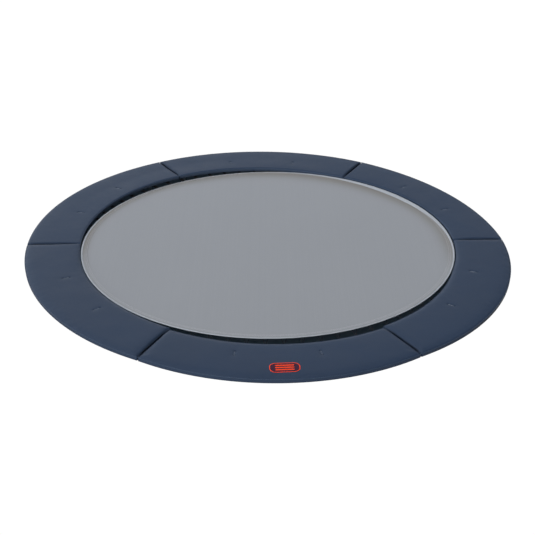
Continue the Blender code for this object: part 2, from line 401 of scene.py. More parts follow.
@dataclass(frozen=True)
class WovenSheet(EdgeShaded):
    """Flat-thread polypropylene weave, matt, faded in soft patches."""

    threads: float = 420.0

    def dress(self, r: Recipe, shader: bpy.types.Node) -> None:
        """Weave, thread-to-thread tone, slow fading, painted shade between the threads and painted light towards the
        back left.

        Args:
            r: The recipe of the material.
            shader: Its Principled node.
        """
        place = self.place(r)
        weave = self.use(r, Effects.weave(), {"Vector": place, "Threads": self.threads})
        fade = self.use(r, Effects.mottle(), {"Vector": place, "Patches": 0.9})
        threads = r.blend(weave.outputs["Tone"], self.tint(0.97), self.tint(1.03))
        faded = r.blend(fade.outputs["Mask"], self.tint(0.965), self.tint(1.03))
        mixed = r.add("Mix", {0: 0.5, 6: threads, 7: faded}, data_type="RGBA").outputs[2]
        # Painted light: the sheet is made lighter towards the back left, as the light falls.
        axes = r.add("SeparateXYZ", {0: place}).outputs
        lean = r.sums("ADD", 0.5, r.sums("MULTIPLY", r.sums("SUBTRACT", axes[1], axes[0]), 0.16), clamp=True)
        painted_light_tilt = r.add("Mix", {0: 1.0, 6: mixed, 7: r.blend(lean, (0.96, 0.96, 0.96, 1), (1.05, 1.05, 1.05, 1))},
                       data_type="RGBA", blend_type="MULTIPLY").outputs[2]
        # Painted shade in the gaps between the threads.
        dark = r.blend(r.spread(weave.outputs["Height"], 0.16, 0.0), painted_light_tilt, self.tint(0.55))
        r.tree.links.new(self.with_painted_shade(r, dark), shader.inputs["Base Color"])
        r.tree.links.new(r.spread(fade.outputs["Mask"], self.roughness - 0.05, self.roughness + 0.05),
                         shader.inputs["Roughness"])
        shader.inputs["Specular IOR Level"].default_value = 0.25
        self.bump(r, shader, weave.outputs["Height"], 0.0004, 0.5)


@dataclass(frozen=True)
class Vinyl(Finish):
    """Satin coated fabric with a fine pebble, a soft sheen, lighter edges that are partly rubbed wear and partly
    painted light, and painted shade in the seams.
    """

    pebbles: float = 620.0
    sheen: float = 0.38
    # The lighter edge colour: partly rubbed wear, partly painted light.
    wear_and_painted_light: tuple[float, float, float] = (0.038, 0.054, 0.084)

    def dress(self, r: Recipe, shader: bpy.types.Node) -> None:
        """Grain, faded patches, lighter edges that are partly rubbed wear and partly painted light, and painted shade
        in the seams and the tacks' pits.

        Args:
            r: The recipe of the material.
            shader: Its Principled node.
        """
        place = self.place(r)
        grain = self.use(r, Effects.grain(), {"Vector": place, "Pebbles": self.pebbles})
        fade = self.use(r, Effects.mottle(), {"Vector": place, "Patches": 2.2})
        edge = r.add("Attribute", attribute_name="edge").outputs["Fac"]
        body = r.blend(fade.outputs["Mask"], self.tint(0.94), self.tint(1.07))
        # Lighter edges: partly rubbed wear, partly painted light on walls that lie in shade.
        rubbed_and_lit = r.blend(r.sums("MULTIPLY", edge, r.spread(fade.outputs["Mask"], 0.15, 0.45)), body, (*self.wear_and_painted_light, 1))
        # Painted shade in the seams and the tacks' pits, which also dulls the gloss there.
        crevice_shade = r.add("Attribute", attribute_name="crevice_shade").outputs["Fac"]
        r.tree.links.new(r.blend(crevice_shade, rubbed_and_lit, self.tint(0.25)), shader.inputs["Base Color"])
        gloss = r.spread(fade.outputs["Mask"], self.roughness - 0.04, self.roughness + 0.06)
        dulled = r.sums("ADD", gloss, r.sums("MULTIPLY", crevice_shade, 0.45), clamp=True)
        r.tree.links.new(dulled, shader.inputs["Roughness"])
        shader.inputs["Specular IOR Level"].default_value = self.sheen
        self.bump(r, shader, grain.outputs["Height"], 0.00035, 0.35)


@dataclass(frozen=True)
class Webbing(EdgeShaded):
    """Ribbed woven tape that runs round the mat."""

    ribs: float = 420.0
    radius: float = 1.5

    def dress(self, r: Recipe, shader: bpy.types.Node) -> None:
        """Ribs that follow the ring, with uneven tone and the painted edge shade.

        Args:
            r: The recipe of the material.
            shader: Its Principled node.
        """
        place = self.place(r)
        ribs = self.use(r, Effects.ribs(), {"Vector": place, "Ribs": self.ribs, "Radius": self.radius})
        fade = self.use(r, Effects.mottle(), {"Vector": place, "Patches": 3.0})
        tone = r.blend(ribs.outputs["Tone"], self.tint(0.95), self.tint(1.05))
        faded = r.blend(fade.outputs["Mask"], self.tint(0.94), self.tint(1.05))
        mixed = self.with_painted_shade(r, r.add("Mix", {0: 0.5, 6: tone, 7: faded}, data_type="RGBA").outputs[2])
        r.tree.links.new(mixed, shader.inputs["Base Color"])
        shader.inputs["Specular IOR Level"].default_value = 0.3
        self.bump(r, shader, ribs.outputs["Height"], 0.0004, 0.5)


@dataclass(frozen=True)
class Galvanised(Finish):
    """Dull zinc with a faint spangle and a few darker stains."""

    def dress(self, r: Recipe, shader: bpy.types.Node) -> None:
        """Spangle cells, stains and a fine roughness.

        Args:
            r: The recipe of the material.
            shader: Its Principled node.
        """
        place = self.place(r)
        spangle = r.add("TexVoronoi", {"Vector": place, "Scale": 95.0})
        stains = self.use(r, Effects.mottle(), {"Vector": place, "Patches": 7.0})
        cells = r.blend(r.sums("MULTIPLY", spangle.outputs["Color"], 1.0), self.tint(0.86), self.tint(1.12))
        stained = r.blend(r.spread(stains.outputs["Mask"], 0.0, 0.45), cells, self.tint(0.6))
        r.tree.links.new(stained, shader.inputs["Base Color"])
        r.tree.links.new(r.spread(stains.outputs["Mask"], self.roughness - 0.08, self.roughness + 0.14),
                         shader.inputs["Roughness"])
        self.bump(r, shader, spangle.outputs["Distance"], 0.0003, 0.15)


@dataclass(frozen=True)
class CoatedWire(Finish):
    """Spring steel in a thin dark coat, scuffed to metal in spots."""

    def dress(self, r: Recipe, shader: bpy.types.Node) -> None:
        """Scuffs and uneven gloss.

        Args:
            r: The recipe of the material.
            shader: Its Principled node.
        """
        place = self.place(r)
        scuff = self.use(r, Effects.mottle(), {"Vector": place, "Patches": 30.0})
        # Scuffs through the coat: real wear.
        wear_and_painted_light = r.blend(r.spread(scuff.outputs["Mask"], -0.25, 0.5), self.tint(1.0), self.tint(2.6))
        r.tree.links.new(wear_and_painted_light, shader.inputs["Base Color"])
        r.tree.links.new(r.spread(scuff.outputs["Mask"], self.roughness - 0.08, self.roughness + 0.15),
                         shader.inputs["Roughness"])
        grain = self.use(r, Effects.grain(), {"Vector": place, "Pebbles": 900.0})
        self.bump(r, shader, grain.outputs["Height"], 0.0002, 0.2)


@dataclass(frozen=True)
class Moulded(Finish):
    """Matt rubber or plastic with dusty patches."""

    def dress(self, r: Recipe, shader: bpy.types.Node) -> None:
        """Fine grain and dust.

        Args:
            r: The recipe of the material.
            shader: Its Principled node.
        """
        place = self.place(r)
        dust = self.use(r, Effects.mottle(), {"Vector": place, "Patches": 11.0})
        dusty = r.blend(r.spread(dust.outputs["Mask"], 0.0, 0.35), self.tint(1.0), self.tint(3.0))
        r.tree.links.new(dusty, shader.inputs["Base Color"])
        r.tree.links.new(r.spread(dust.outputs["Mask"], self.roughness - 0.05, self.roughness + 0.1),
                         shader.inputs["Roughness"])
        grain = self.use(r, Effects.grain(), {"Vector": place, "Pebbles": 500.0})
        self.bump(r, shader, grain.outputs["Height"], 0.0004, 0.3)


@dataclass(frozen=True)
class Thread(Finish):
    """Twisted sewing thread or woven elastic."""

    twist: float = 900.0

    def dress(self, r: Recipe, shader: bpy.types.Node) -> None:
        """A slanting twist and uneven tone.

        Args:
            r: The recipe of the material.
            shader: Its Principled node.
        """
        place = self.place(r)
        wave = r.add("TexWave", {"Vector": place, "Scale": self.twist / 6.28, "Distortion": 1.0},
                     bands_direction="DIAGONAL")
        tone = r.blend(wave.outputs["Fac"], self.tint(0.75), self.tint(1.15))
        r.tree.links.new(tone, shader.inputs["Base Color"])
        shader.inputs["Specular IOR Level"].default_value = 0.25
        self.bump(r, shader, wave.outputs["Fac"], 0.0003, 0.5)


VINYL = Vinyl("navy_vinyl", Slot.VINYL, (0.0125, 0.0255, 0.0530), 0.46)
# The piping is lighter than the cover's vinyl: a painted highlight along the welt.
PIPING = Vinyl("navy_piping", Slot.VINYL, (0.024, 0.042, 0.078), 0.42, pebbles=900.0)
MAT = WovenSheet("grey_woven_sheet", Slot.WEAVE, (0.235, 0.245, 0.262), 0.68)
HEM = Webbing("pale_hem_tape", Slot.HEM, (0.300, 0.322, 0.352), 0.62)
BAND = Webbing("grey_sewn_band", Slot.HEM, (0.232, 0.241, 0.256), 0.70, ribs=520.0)
UNDER_WEB = Webbing("dark_ring_tape", Slot.HEM, (0.06, 0.06, 0.065), 0.75)
ZINC = Galvanised("galvanised_tube", Slot.TUBE, (0.50, 0.51, 0.53), 0.42, 1.0)
WELD = Galvanised("weld_bead", Slot.TUBE, (0.34, 0.34, 0.35), 0.55, 1.0)
COIL = CoatedWire("coated_spring_wire", Slot.SPRING, (0.030, 0.030, 0.033), 0.42, 0.5)
RUBBER = Moulded("foot_rubber", Slot.RUBBER, (0.022, 0.022, 0.024), 0.78)
ELASTIC = Thread("black_elastic", Slot.ELASTIC, (0.018, 0.018, 0.020), 0.80, twist=1500.0)
GREY_THREAD = Thread("grey_thread", Slot.HEM, (0.42, 0.43, 0.46), 0.70)
NAVY_THREAD = Thread("navy_thread", Slot.VINYL, (0.024, 0.038, 0.066), 0.60)
# Paler than the cover: partly the thread's colour, partly painted highlights on the tacks.
TACK_THREAD = Thread("tack_thread", Slot.VINYL, (0.205, 0.232, 0.275), 0.60)
BADGE_GROUND = Vinyl("badge_ground", Slot.BADGE, (0.035, 0.006, 0.022), 0.5, pebbles=900.0, sheen=0.2)
BADGE_PRINT = Vinyl("badge_print", Slot.BADGE, (0.72, 0.050, 0.006), 0.5, pebbles=900.0, sheen=0.15)


# ---------------------------------------------------------------- mesh tools


def place_piece(
    name: str, bm: bmesh.types.BMesh, finish: Finish, body: Body | None, crease: float = 40.0
) -> bpy.types.Object:
    """Turn a finished bmesh into a shown piece.

    Args:
        name: The piece's name.
        bm: Its mesh, which is freed.
        finish: Its finish.
        body: The body that it rides on, or None where it is attached to neither.
        crease: Edges sharper than this many degrees stay sharp.

    Returns:
        The piece's object.
    """
    mesh = bpy.data.meshes.new(name)
    bm.to_mesh(mesh)
    bm.free()
    mesh.materials.append(finish.material())
    mesh.shade_smooth()
    mesh.set_sharp_from_angle(angle=math.radians(crease))
    piece = bpy.data.objects.new(name, mesh)
    bpy.context.scene.collection.objects.link(piece)
    if body is not None:
        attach(piece, body.value)
    return piece


def append_copy(bm: bmesh.types.BMesh, mesh: bpy.types.Mesh, place: Matrix) -> None:
    """Add a placed copy of a small mesh to a bmesh.

    Args:
        bm: The mesh that takes the copy.
        mesh: What is copied.
        place: Where the copy goes.
    """
    copy = mesh.copy()
    copy.transform(place)
    bm.from_mesh(copy)
    bpy.data.meshes.remove(copy)


def template(bm: bmesh.types.BMesh, name: str) -> bpy.types.Mesh:
    """Turn a bmesh into a mesh to be copied, and free it.

    Args:
        bm: The drawn mesh.
        name: The name of the result.

    Returns:
        The mesh.
    """
    mesh = bpy.data.meshes.new(name)
    bm.to_mesh(mesh)
    bm.free()
    return mesh


def frame_along(direction: Vector, up: Vector = Vector((0, 0, 1))) -> Matrix:
    """Return the turn that takes +X to a direction and keeps +Z near up.

    Args:
        direction: Where +X goes.
        up: Where +Z leans.

    Returns:
        The turn.
    """
    x = direction.normalized()
    y = up.cross(x).normalized()
    z = x.cross(y)
    return Matrix((x, y, z)).transposed().to_4x4()


def polar(radius: float, angle: float, z: float = 0.0) -> Vector:
    """Return the point at a radius and an angle."""
    return Vector((radius * math.cos(angle), radius * math.sin(angle), z))


def tube_along(
    bm: bmesh.types.BMesh, path: Sequence[Vector], radius: float, sides: int, closed: bool = False
) -> None:
    """Draw a round bar along a path, by extruding a circle from point to point.

    Args:
        bm: The mesh to add to.
        path: The bar's middle line.
        radius: The bar's radius.
        sides: The number of its sides.
        closed: Whether the last point joins the first.
    """
    count = len(path)
    towards = []
    for k in range(count):
        after = path[(k + 1) % count] if closed or k < count - 1 else path[k]
        before = path[k - 1] if closed or k > 0 else path[k]
        towards.append((after - before).normalized())
    normal = towards[0].orthogonal().normalized()
    turn = Matrix((normal, towards[0].cross(normal), towards[0])).transposed().to_4x4()
    first = bmesh.ops.create_circle(bm, segments=sides, radius=radius, matrix=Matrix.Translation(path[0]) @ turn)
    ring = first["verts"]
    edges = list({e for v in ring for e in v.link_edges})
    if not closed:
        bmesh.ops.contextual_create(bm, geom=list(edges))
    start = list(ring)
    for k in range(1, count):
        made = bmesh.ops.extrude_edge_only(bm, edges=edges)["geom"]
        ring = [g for g in made if isinstance(g, bmesh.types.BMVert)]
        edges = [g for g in made if isinstance(g, bmesh.types.BMEdge) and all(v in ring for v in g.verts)]
        swing = towards[k - 1].rotation_difference(towards[k]).to_matrix().to_4x4()
        move = Matrix.Translation(path[k]) @ swing @ Matrix.Translation(-path[k - 1])
        bmesh.ops.transform(bm, matrix=move, verts=ring)
    if closed:
        bmesh.ops.bridge_loops(bm, edges=edges + list({e for v in start for e in v.link_edges
                                                       if e.other_vert(v) in start}))
    else:
        bmesh.ops.contextual_create(bm, geom=edges)


def spun(
    profile: Sequence[tuple[float, float]], start: float, sweep: float, steps: int, closed_profile: bool = True
) -> bmesh.types.BMesh:
    """Spin a profile of (radius, height) points about +Z.

    Args:
        profile: The section's points.
        start: The angle at which the section stands first.
        sweep: The angle that it is spun through; a full turn is closed.
        steps: The number of steps.
        closed_profile: Whether the last point joins the first.

    Returns:
        The spun mesh, its faces outward.
    """
    bm = bmesh.new()
    verts = [bm.verts.new(polar(r, start, z)) for r, z in profile]
    edges = [bm.edges.new(pair) for pair in zip(verts, verts[1:])]
    if closed_profile:
        edges.append(bm.edges.new((verts[-1], verts[0])))
    full = abs(sweep - 2 * math.pi) < 1e-6
    geom = verts + edges
    if closed_profile and not full:
        geom.append(bm.faces.new(verts))
    bmesh.ops.spin(
        bm, geom=geom, cent=(0, 0, 0), axis=(0, 0, 1), angle=sweep, steps=steps, use_merge=full, use_duplicate=False,
    )
    bmesh.ops.remove_doubles(bm, verts=bm.verts, dist=1e-6)
    bmesh.ops.recalc_face_normals(bm, faces=bm.faces)
    return bm


def round_corner(centre: tuple[float, float], radius: float, start: float, end: float, steps: int) -> list:
    """Return points on an arc, angles in degrees."""
    turns = [math.radians(start + (end - start) * k / steps) for k in range(steps + 1)]
    return [(centre[0] + radius * math.cos(t), centre[1] + radius * math.sin(t)) for t in turns]


def stitch_mesh(length: float, thickness: float) -> bpy.types.Mesh:
    """Return one short stitch lying along +X, a bar with its ends dipped.

    Args:
        length: The length of the stitch.
        thickness: The thickness of its thread.

    Returns:
        The mesh, to be copied.
    """
    bm = bmesh.new()
    dip = Vector((0, 0, -thickness * 0.7))
    half = Vector((length / 2, 0, 0))
    path = [-half + dip, -half * 0.7, half * 0.7, half + dip]
    tube_along(bm, path, thickness / 2, 5)
    bmesh.ops.recalc_face_normals(bm, faces=bm.faces)
    return template(bm, "stitch")


# ---------------------------------------------------------------- how the bed dips


@dataclass(frozen=True)
class Dish:
    """How far each ring of the bed sinks under a jumper, as a share of the middle's travel.

    A stretched sheet loaded in its middle takes a logarithm's slope; the springs continue it to
    the rail, where it is nothing.
    """

    centre: Vector
    rail_radius: float
    foot: float = 0.32

    def share(self, place: np.ndarray) -> np.ndarray:
        """Return each point's share of the travel.

        Args:
            place: Points in rows.

        Returns:
            The shares, from 0 at the rail to 1 in the middle.
        """
        away = np.hypot(place[:, 0] - self.centre.x, place[:, 1] - self.centre.y)
        full = math.log((self.rail_radius**2 + self.foot**2) / self.foot**2)
        fall = np.log((self.rail_radius**2 + self.foot**2) / (away**2 + self.foot**2)) / full
        return np.clip(fall, 0.0, 1.0)

    def bend(self, piece: bpy.types.Object) -> None:
        """Bake a piece's placement into its mesh and read its points; it does not move them.

        Args:
            piece: A finished mesh piece that rides on nothing yet.
        """
        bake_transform(piece)
        place = np.empty(len(piece.data.vertices) * 3, np.float32)
        piece.data.vertices.foreach_get("co", place)


@dataclass(frozen=True)
class Rim:
    """How the mat's edge rides up and down round the bed, and how wide its tape shows there."""

    radius: float
    turn_in: float = 100 * MM
    draw_reach: float = 300 * MM

    @staticmethod
    def near(angle: float, at: float, spread: float) -> float:
        """Return a weight that is 1 at an angle and fades over a spread, both in degrees."""
        off = (math.degrees(angle) - at + 180) % 360 - 180
        return math.exp(-((off / spread) ** 2))

    def rise(self, radius: float, angle: float) -> float:
        """Return how far the edge stands above the flat mat at a place.

        Args:
            radius: The distance from the middle.
            angle: The angle round the middle.

        Returns:
            The height, below zero where the edge rides low.
        """
        height = 1 * MM + 4 * MM * self.near(angle, 190, 32) - 16.5 * MM * self.near(angle, 118, 48)
        turned = min(max((radius - self.radius + self.turn_in) / self.turn_in, 0.0), 1.0)
        return height * turned**2

    def drawn(self, radius: float, angle: float) -> float:
        """Return the radius that a ring of the bed is drawn in to, since the bed lies a little out of round."""
        turned = min(max((radius - self.radius + self.draw_reach) / self.draw_reach, 0.0), 1.0)
        return radius - 16 * MM * self.near(angle, 42, 38) * turned**2

    def tape(self, angle: float) -> float:
        """Return the width of the hem's upper turn."""
        return 11 * MM + 2 * MM * self.near(angle, 190, 40) + 46 * MM * self.near(angle, 42, 30)

    def painted_edge_shade(self, inside: float, angle: float) -> float:
        """Return how much painted shade darkens the mat at a distance inside its tape: most along the half that lies in
        shade.

        Args:
            inside: How far inside the tape's inner edge the place is.
            angle: The angle round the middle.

        Returns:
            The painted shade, from 0 to 1.
        """
        # Painted shade: strongest on the far half of the ring, fading inward from the tape.
        shaded = min(max(1.0 + 3 * math.sin(angle), 0.0), 1.0)
        depth = 40 * MM + 85 * MM * self.near(angle, 78, 60) + 25 * MM * self.near(angle, 0, 25)
        wear_and_painted_light = 0.06 + (0.74 + 0.24 * self.near(angle, 90, 60)) * shaded
        return min(wear_and_painted_light, 1.0) * math.exp(-((max(inside, 0.0) / depth) ** 2))


# ---------------------------------------------------------------- sub-assemblies


@dataclass
class PadPlan:
    """The plan of one edge pad, which follows the rail but lies a little out of round."""

    number: int
    mat_centre: Vector
    outer: float = 1.985
    inner: float = 1.546
    clear_of_mat: float = 1.531
    lay_across: float = 0.026
    lay_askew: float = 0.034
    seam_gap: float = 3.5 * MM
    seam_slack: float = 12 * MM

    @staticmethod
    def seam(number: int) -> float:
        """Return the angle of the seam after a pad."""
        return PAD_TURN + number * SECTOR + math.radians(SEAM_LIES[number % SECTORS])

    @property
    def middle(self) -> float:
        """Return the angle halfway between the pad's seams."""
        return (self.seam(self.number - 1) + self.seam(self.number)) / 2

    @property
    def half_turn(self) -> float:
        """Return half the angle between the pad's seams."""
        return (self.seam(self.number) - self.seam(self.number - 1)) / 2

    def edge(self, radius: float, angle: float, shift: float = 0.0) -> Vector:
        """Return a point of the pad ring at an angle, kept clear of the mat.

        Args:
            radius: The true radius of the edge.
            angle: The angle round the middle.
            shift: How far out the edge is moved there.

        Returns:
            The point, at height zero.
        """
        away = Vector((math.cos(angle), math.sin(angle), 0))
        along = self.mat_centre.xy.to_3d().dot(away)
        across = self.mat_centre.xy.to_3d().cross(away).length
        nearest = along + math.sqrt(self.clear_of_mat**2 - across**2)
        lay = -self.lay_across * math.cos(2 * angle) - self.lay_askew * math.sin(2 * angle)
        return away * max(radius + lay + shift, nearest)

    def sides(self, angle: float) -> tuple[Vector, Vector]:
        """Return the points of the inner and the outer edge at an angle.

        Args:
            angle: The angle round the middle.

        Returns:
            The inner point and the outer.
        """
        share = (angle - self.middle) / self.half_turn
        bow = PAD_BOWS[self.number - 1] * max(1 - share**2, 0.0)
        slip = PAD_SLIPS[self.number - 1]
        return self.edge(self.inner, angle, slip), self.edge(self.outer, angle, bow)

    def at(self, along: float, across: float, inset: float = 0.0) -> Vector:
        """Return a plan point.

        Args:
            along: From -1 at one seam to 1 at the other.
            across: From 0 at the inner edge to 1 at the outer.
            inset: How far to keep inside the outline.

        Returns:
            The point, at height zero.
        """
        width = self.outer - self.inner
        across = inset / width + across * (1 - 2 * inset / width)
        radius = self.inner + width * across
        gap = self.seam_gap + self.seam_slack * math.sin(math.pi * across)
        half = self.half_turn - (gap / 2 + inset) / radius
        near, far = self.sides(self.middle + along * half)
        return near.lerp(far, across)

    def turned(self, point: Vector) -> float:
        """Return a point's angle, within half a turn of the pad's middle."""
        off = math.atan2(point.y, point.x) - self.middle
        return self.middle + (off + math.pi) % (2 * math.pi) - math.pi

    def across_of(self, point: Vector) -> float:
        """Return how far across the pad a point lies, from 0 at the inner edge to 1 at the outer."""
        near, far = self.sides(self.turned(point))
        return min(max((point.xy.length - near.length) / (far.length - near.length), 0.0), 1.0)

    def outline(self, inset: float, step: float) -> list[Vector]:
        """Return points round the pad's outline, about a step apart, kept inside by an inset.

        Args:
            inset: How far inside the plan to keep.
            step: How far apart the points are.

        Returns:
            The points, in order round the pad.
        """
        arc = self.outer * SECTOR
        long = max(8, round(arc / step))
        short = max(4, round((self.outer - self.inner) / step))
        points = [self.at(-1 + 2 * k / long, 1.0, inset) for k in range(long)]
        points += [self.at(1.0, 1 - k / short, inset) for k in range(short)]
        points += [self.at(1 - 2 * k / long, 0.0, inset) for k in range(long)]
        points += [self.at(-1.0, k / short, inset) for k in range(short)]
        return points


@dataclass
class EdgePad:
    """One padded cover: foam in vinyl, with piping, seams and two tacks."""

    number: int
    plan: PadPlan
    bottom: float
    top: float
    cells_along: int = 116
    cells_across: int = 25
    wall_rows: int = 7
    edge_height: float = 33 * MM
    crown: float = 6 * MM
    end_crown: float = 2 * MM
    corner: float = 5 * MM
    end_corner: float = 10 * MM
    crowd_along: float = 0.06
    crowd_across: float = 0.30
    lift: float = 14 * MM
    lift_angle: float = math.radians(130)
    lift_spread: float = math.radians(48)
    tack_turn: float = math.radians(9.8)
    tack_across: float = 0.36
    tack_length: float = 48 * MM
    tack_depth: float = 7 * MM
    swell_cap: float = 4.0 * MM
    swell_frames: int = 14
    piping_radius: float = 2.2 * MM

    @property
    def node(self) -> str:
        """Return the name of the solid that this pad stands for."""
        return f"edge_pad_{self.number}"

    def tack_places(self) -> list[tuple[Vector, float]]:
        """Return the middle of each tack and the angle that it points out at.

        Returns:
            Middles and angles, two of each.
        """
        found = []
        for side in (-1, 1):
            angle = self.plan.middle + side * self.tack_turn
            near, far = self.plan.sides(angle)
            found.append((near.lerp(far, self.tack_across), angle))
        return found

    def slab(self) -> bmesh.types.BMesh:
        """Return the flat cover: two panels and a wall, on the pad's plan, its corners rounded.

        Returns:
            The mesh of the cover before it is filled.
        """
        bm = bmesh.new()
        bmesh.ops.create_grid(bm, x_segments=self.cells_along, y_segments=self.cells_across, size=1.0)
        raised = bmesh.ops.extrude_face_region(bm, geom=list(bm.faces))["geom"]
        upper = [g for g in raised if isinstance(g, bmesh.types.BMVert)]
        bmesh.ops.translate(bm, vec=(0, 0, 1), verts=upper)
        bmesh.ops.recalc_face_normals(bm, faces=bm.faces)
        posts = [e for e in bm.edges if abs(e.verts[0].co.z - e.verts[1].co.z) > 0.5]
        bmesh.ops.subdivide_edges(bm, edges=posts, cuts=self.wall_rows, use_grid_fill=True)
        for vert in bm.verts:
            vert.co = self.shaped(vert.co)
        bmesh.ops.recalc_face_normals(bm, faces=bm.faces)
        return bm

    @staticmethod
    def rounding(inside: float, radius: float) -> float:
        """Return how far a rounded edge has dropped at a distance inside it."""
        short = max(radius - inside, 0.0)
        return radius - math.sqrt(radius**2 - short**2)

    @staticmethod
    def crowded(share: float, reach: float) -> float:
        """Return a place from -1 to 1 with the cells drawn together near both ends.

        Args:
            share: The even place, from -1 to 1.
            reach: How far from the ends the crowding reaches.

        Returns:
            The crowded place.
        """
        left = 1 - abs(share)
        drawn = left * (1 - 0.62 * math.exp(-left / reach)) / (1 - 0.62 * math.exp(-1 / reach))
        return math.copysign(1 - drawn, share)

    def raised(self, angle: float, across: float) -> float:
        """Return how far the cover's inner side stands up off the springs at a place."""
        off = (angle - self.lift_angle + math.pi) % (2 * math.pi) - math.pi
        return self.lift * math.exp(-((off / self.lift_spread) ** 2)) * max(1 - across / 0.55, 0.0) ** 1.3

    def shaped(self, cell: Vector) -> Vector:
        """Return where a point of the unit slab lies on the pad.

        Args:
            cell: Along and across from -1 to 1, and the height from 0 to 1.

        Returns:
            The place, in metres.
        """
        width = self.plan.outer - self.plan.inner
        along, side = self.crowded(cell.x, self.crowd_along), self.crowded(cell.y, self.crowd_across)
        from_end, from_side = (1 - abs(along)) * self.plan.outer * self.plan.half_turn, (1 - abs(side)) * width / 2
        near = min(from_end, from_side)
        bulge = 1.2 * MM * math.sin(math.pi * cell.z) if near < 1e-6 else 0.0
        across = (side + 1) / 2
        plan = self.plan.at(along, across, 1.5 * MM - bulge)
        rounding = max(self.rounding(from_side, self.corner), self.rounding(from_end, self.end_corner))
        crown = self.crown * (1 - math.exp(-from_side / 0.070)) + self.end_crown * (1 - math.exp(-from_end / 0.050))
        tall = self.edge_height + crown - rounding
        lifted = self.raised(math.atan2(plan.y, plan.x), across)
        return Vector((plan.x, plan.y, self.bottom + lifted + cell.z * tall))

    def swell(self, piece: bpy.types.Object) -> None:
        """Fill the cover as foam does, by cloth under pressure, then apply it.

        Args:
            piece: The cover, whose underside is held.
        """
        mesh = piece.data
        count = len(mesh.vertices)
        rest = np.empty(count * 3, np.float32)
        mesh.vertices.foreach_get("co", rest)
        rest = rest.reshape(-1, 3)
        held = piece.vertex_groups.new(name="held")
        under = [v.index for v in mesh.vertices if v.normal.z < -0.5]
        held.add(under, 1.0, "REPLACE")
        cloth = piece.modifiers.new("Swell", "CLOTH")
        cloth.settings.use_pressure = True
        cloth.settings.uniform_pressure_force = 4.0
        cloth.settings.effector_weights.gravity = 0.0
        cloth.settings.vertex_group_mass = "held"
        cloth.point_cache.frame_start = 1
        cloth.point_cache.frame_end = self.swell_frames
        scene = bpy.context.scene
        for frame in range(1, self.swell_frames + 1):
            scene.frame_set(frame)
        shown = piece.evaluated_get(bpy.context.evaluated_depsgraph_get())
        blown = np.empty(count * 3, np.float32)
        shown.data.vertices.foreach_get("co", blown)
        move = blown.reshape(-1, 3) - rest
        piece.modifiers.remove(cloth)
        piece.vertex_groups.remove(held)
        scene.frame_set(1)
        reach = np.linalg.norm(move, axis=1, keepdims=True)
        capped = move * (self.swell_cap * np.tanh(reach / (self.swell_cap * 3.0)) / np.maximum(reach, 1e-9))
        capped[:, :2] *= 0.35
        mesh.vertices.foreach_set("co", (rest + capped).ravel())
        mesh.update()

    def finer(self, piece: bpy.types.Object) -> None:
        """Subdivide the cover once and keep the result.

        Args:
            piece: The pad's cover.
        """
        modifier = piece.modifiers.new("Fine", "SUBSURF")
        modifier.levels = 1
        modifier.render_levels = 1
        shown = piece.evaluated_get(bpy.context.evaluated_depsgraph_get())
        mesh = bpy.data.meshes.new_from_object(shown)
        piece.modifiers.remove(modifier)
        piece.data = mesh

    def shaded(self, point: Vector) -> float:
        """Return how deep in the gap between two pads a point lies, from 0 to 1, which sets the painted shade there.

        Args:
            point: A point of the cover.

        Returns:
            The depth.
        """
        end = max(self.plan.half_turn - abs(self.plan.turned(point) - self.plan.middle), 0.0) * point.xy.length
        across = self.plan.across_of(point)
        return math.exp(-max(end - 7 * MM, 0.0) / (5 * MM)) * min(3.5 * across, 7 * (1 - across), 1.0)

    def tuck(self, piece: bpy.types.Object) -> None:
        """Press the tacks, the soft creases round them and the slack by the seams into the cover, and write its lighter
        edges, partly rubbed wear and partly painted light, and its painted shade.

        Args:
            piece: The pad's cover.
        """
        seed = Vector((self.number * 7.3, self.number * 3.1, 0.0))
        tacks = self.tack_places()
        edge = piece.data.attributes.new("edge", "FLOAT", "POINT")
        crevice_shade = piece.data.attributes.new("crevice_shade", "FLOAT", "POINT")
        values = np.zeros(len(piece.data.vertices), np.float32)
        depths = np.zeros(len(piece.data.vertices), np.float32)
        for index, vert in enumerate(piece.data.vertices):
            co = vert.co
            angle = self.plan.turned(co)
            across = self.plan.across_of(co)
            up = (co.z - self.bottom - self.raised(angle, across)) / self.edge_height
            end = max(self.plan.half_turn - abs(angle - self.plan.middle), 0.0) * co.xy.length
            near = min(end, min(across, 1 - across) * (self.plan.outer - self.plan.inner))
            # Lighter edges: partly rubbed wear, partly painted light; the inner wall, which lies in shade, takes the
            # full painted light.
            values[index] = math.exp(-near / (9 * MM)) * (0.4 + 0.6 * max(up, 0.0))
            if across * (self.plan.outer - self.plan.inner) < 2 * MM:
                values[index] = 3.0
            # Painted shade in the seams between pads.
            depths[index] = self.shaded(co)
            if up < 0.35:
                continue
            wave = noise.noise(Vector((co.x, co.y, 0)) * 5.5 + seed)
            ripple = noise.noise(Vector((co.x, co.y, 0)) * 19 + seed * 2)
            drop = 1.3 * MM * wave + 1.1 * MM * ripple * math.exp(-near / 0.05)
            for middle, out in tacks:
                rel = co - middle
                rel.z = 0.0
                u = rel.x * math.cos(out) + rel.y * math.sin(out)
                v = -rel.x * math.sin(out) + rel.y * math.cos(out)
                past = max(abs(u) - self.tack_length / 2, 0.0)
                groove = math.exp(-(v / (9 * MM)) ** 2 - (past / (9 * MM)) ** 2)
                bowl = math.exp(-(v / 0.030) ** 2 - (past / 0.036) ** 2)
                dimple = 0.08 + 0.92 * math.cos(u / self.tack_length * 2 * math.pi) ** 4
                ends = math.exp(-((abs(u) - self.tack_length / 2) ** 2 + v**2) / (8 * MM) ** 2)
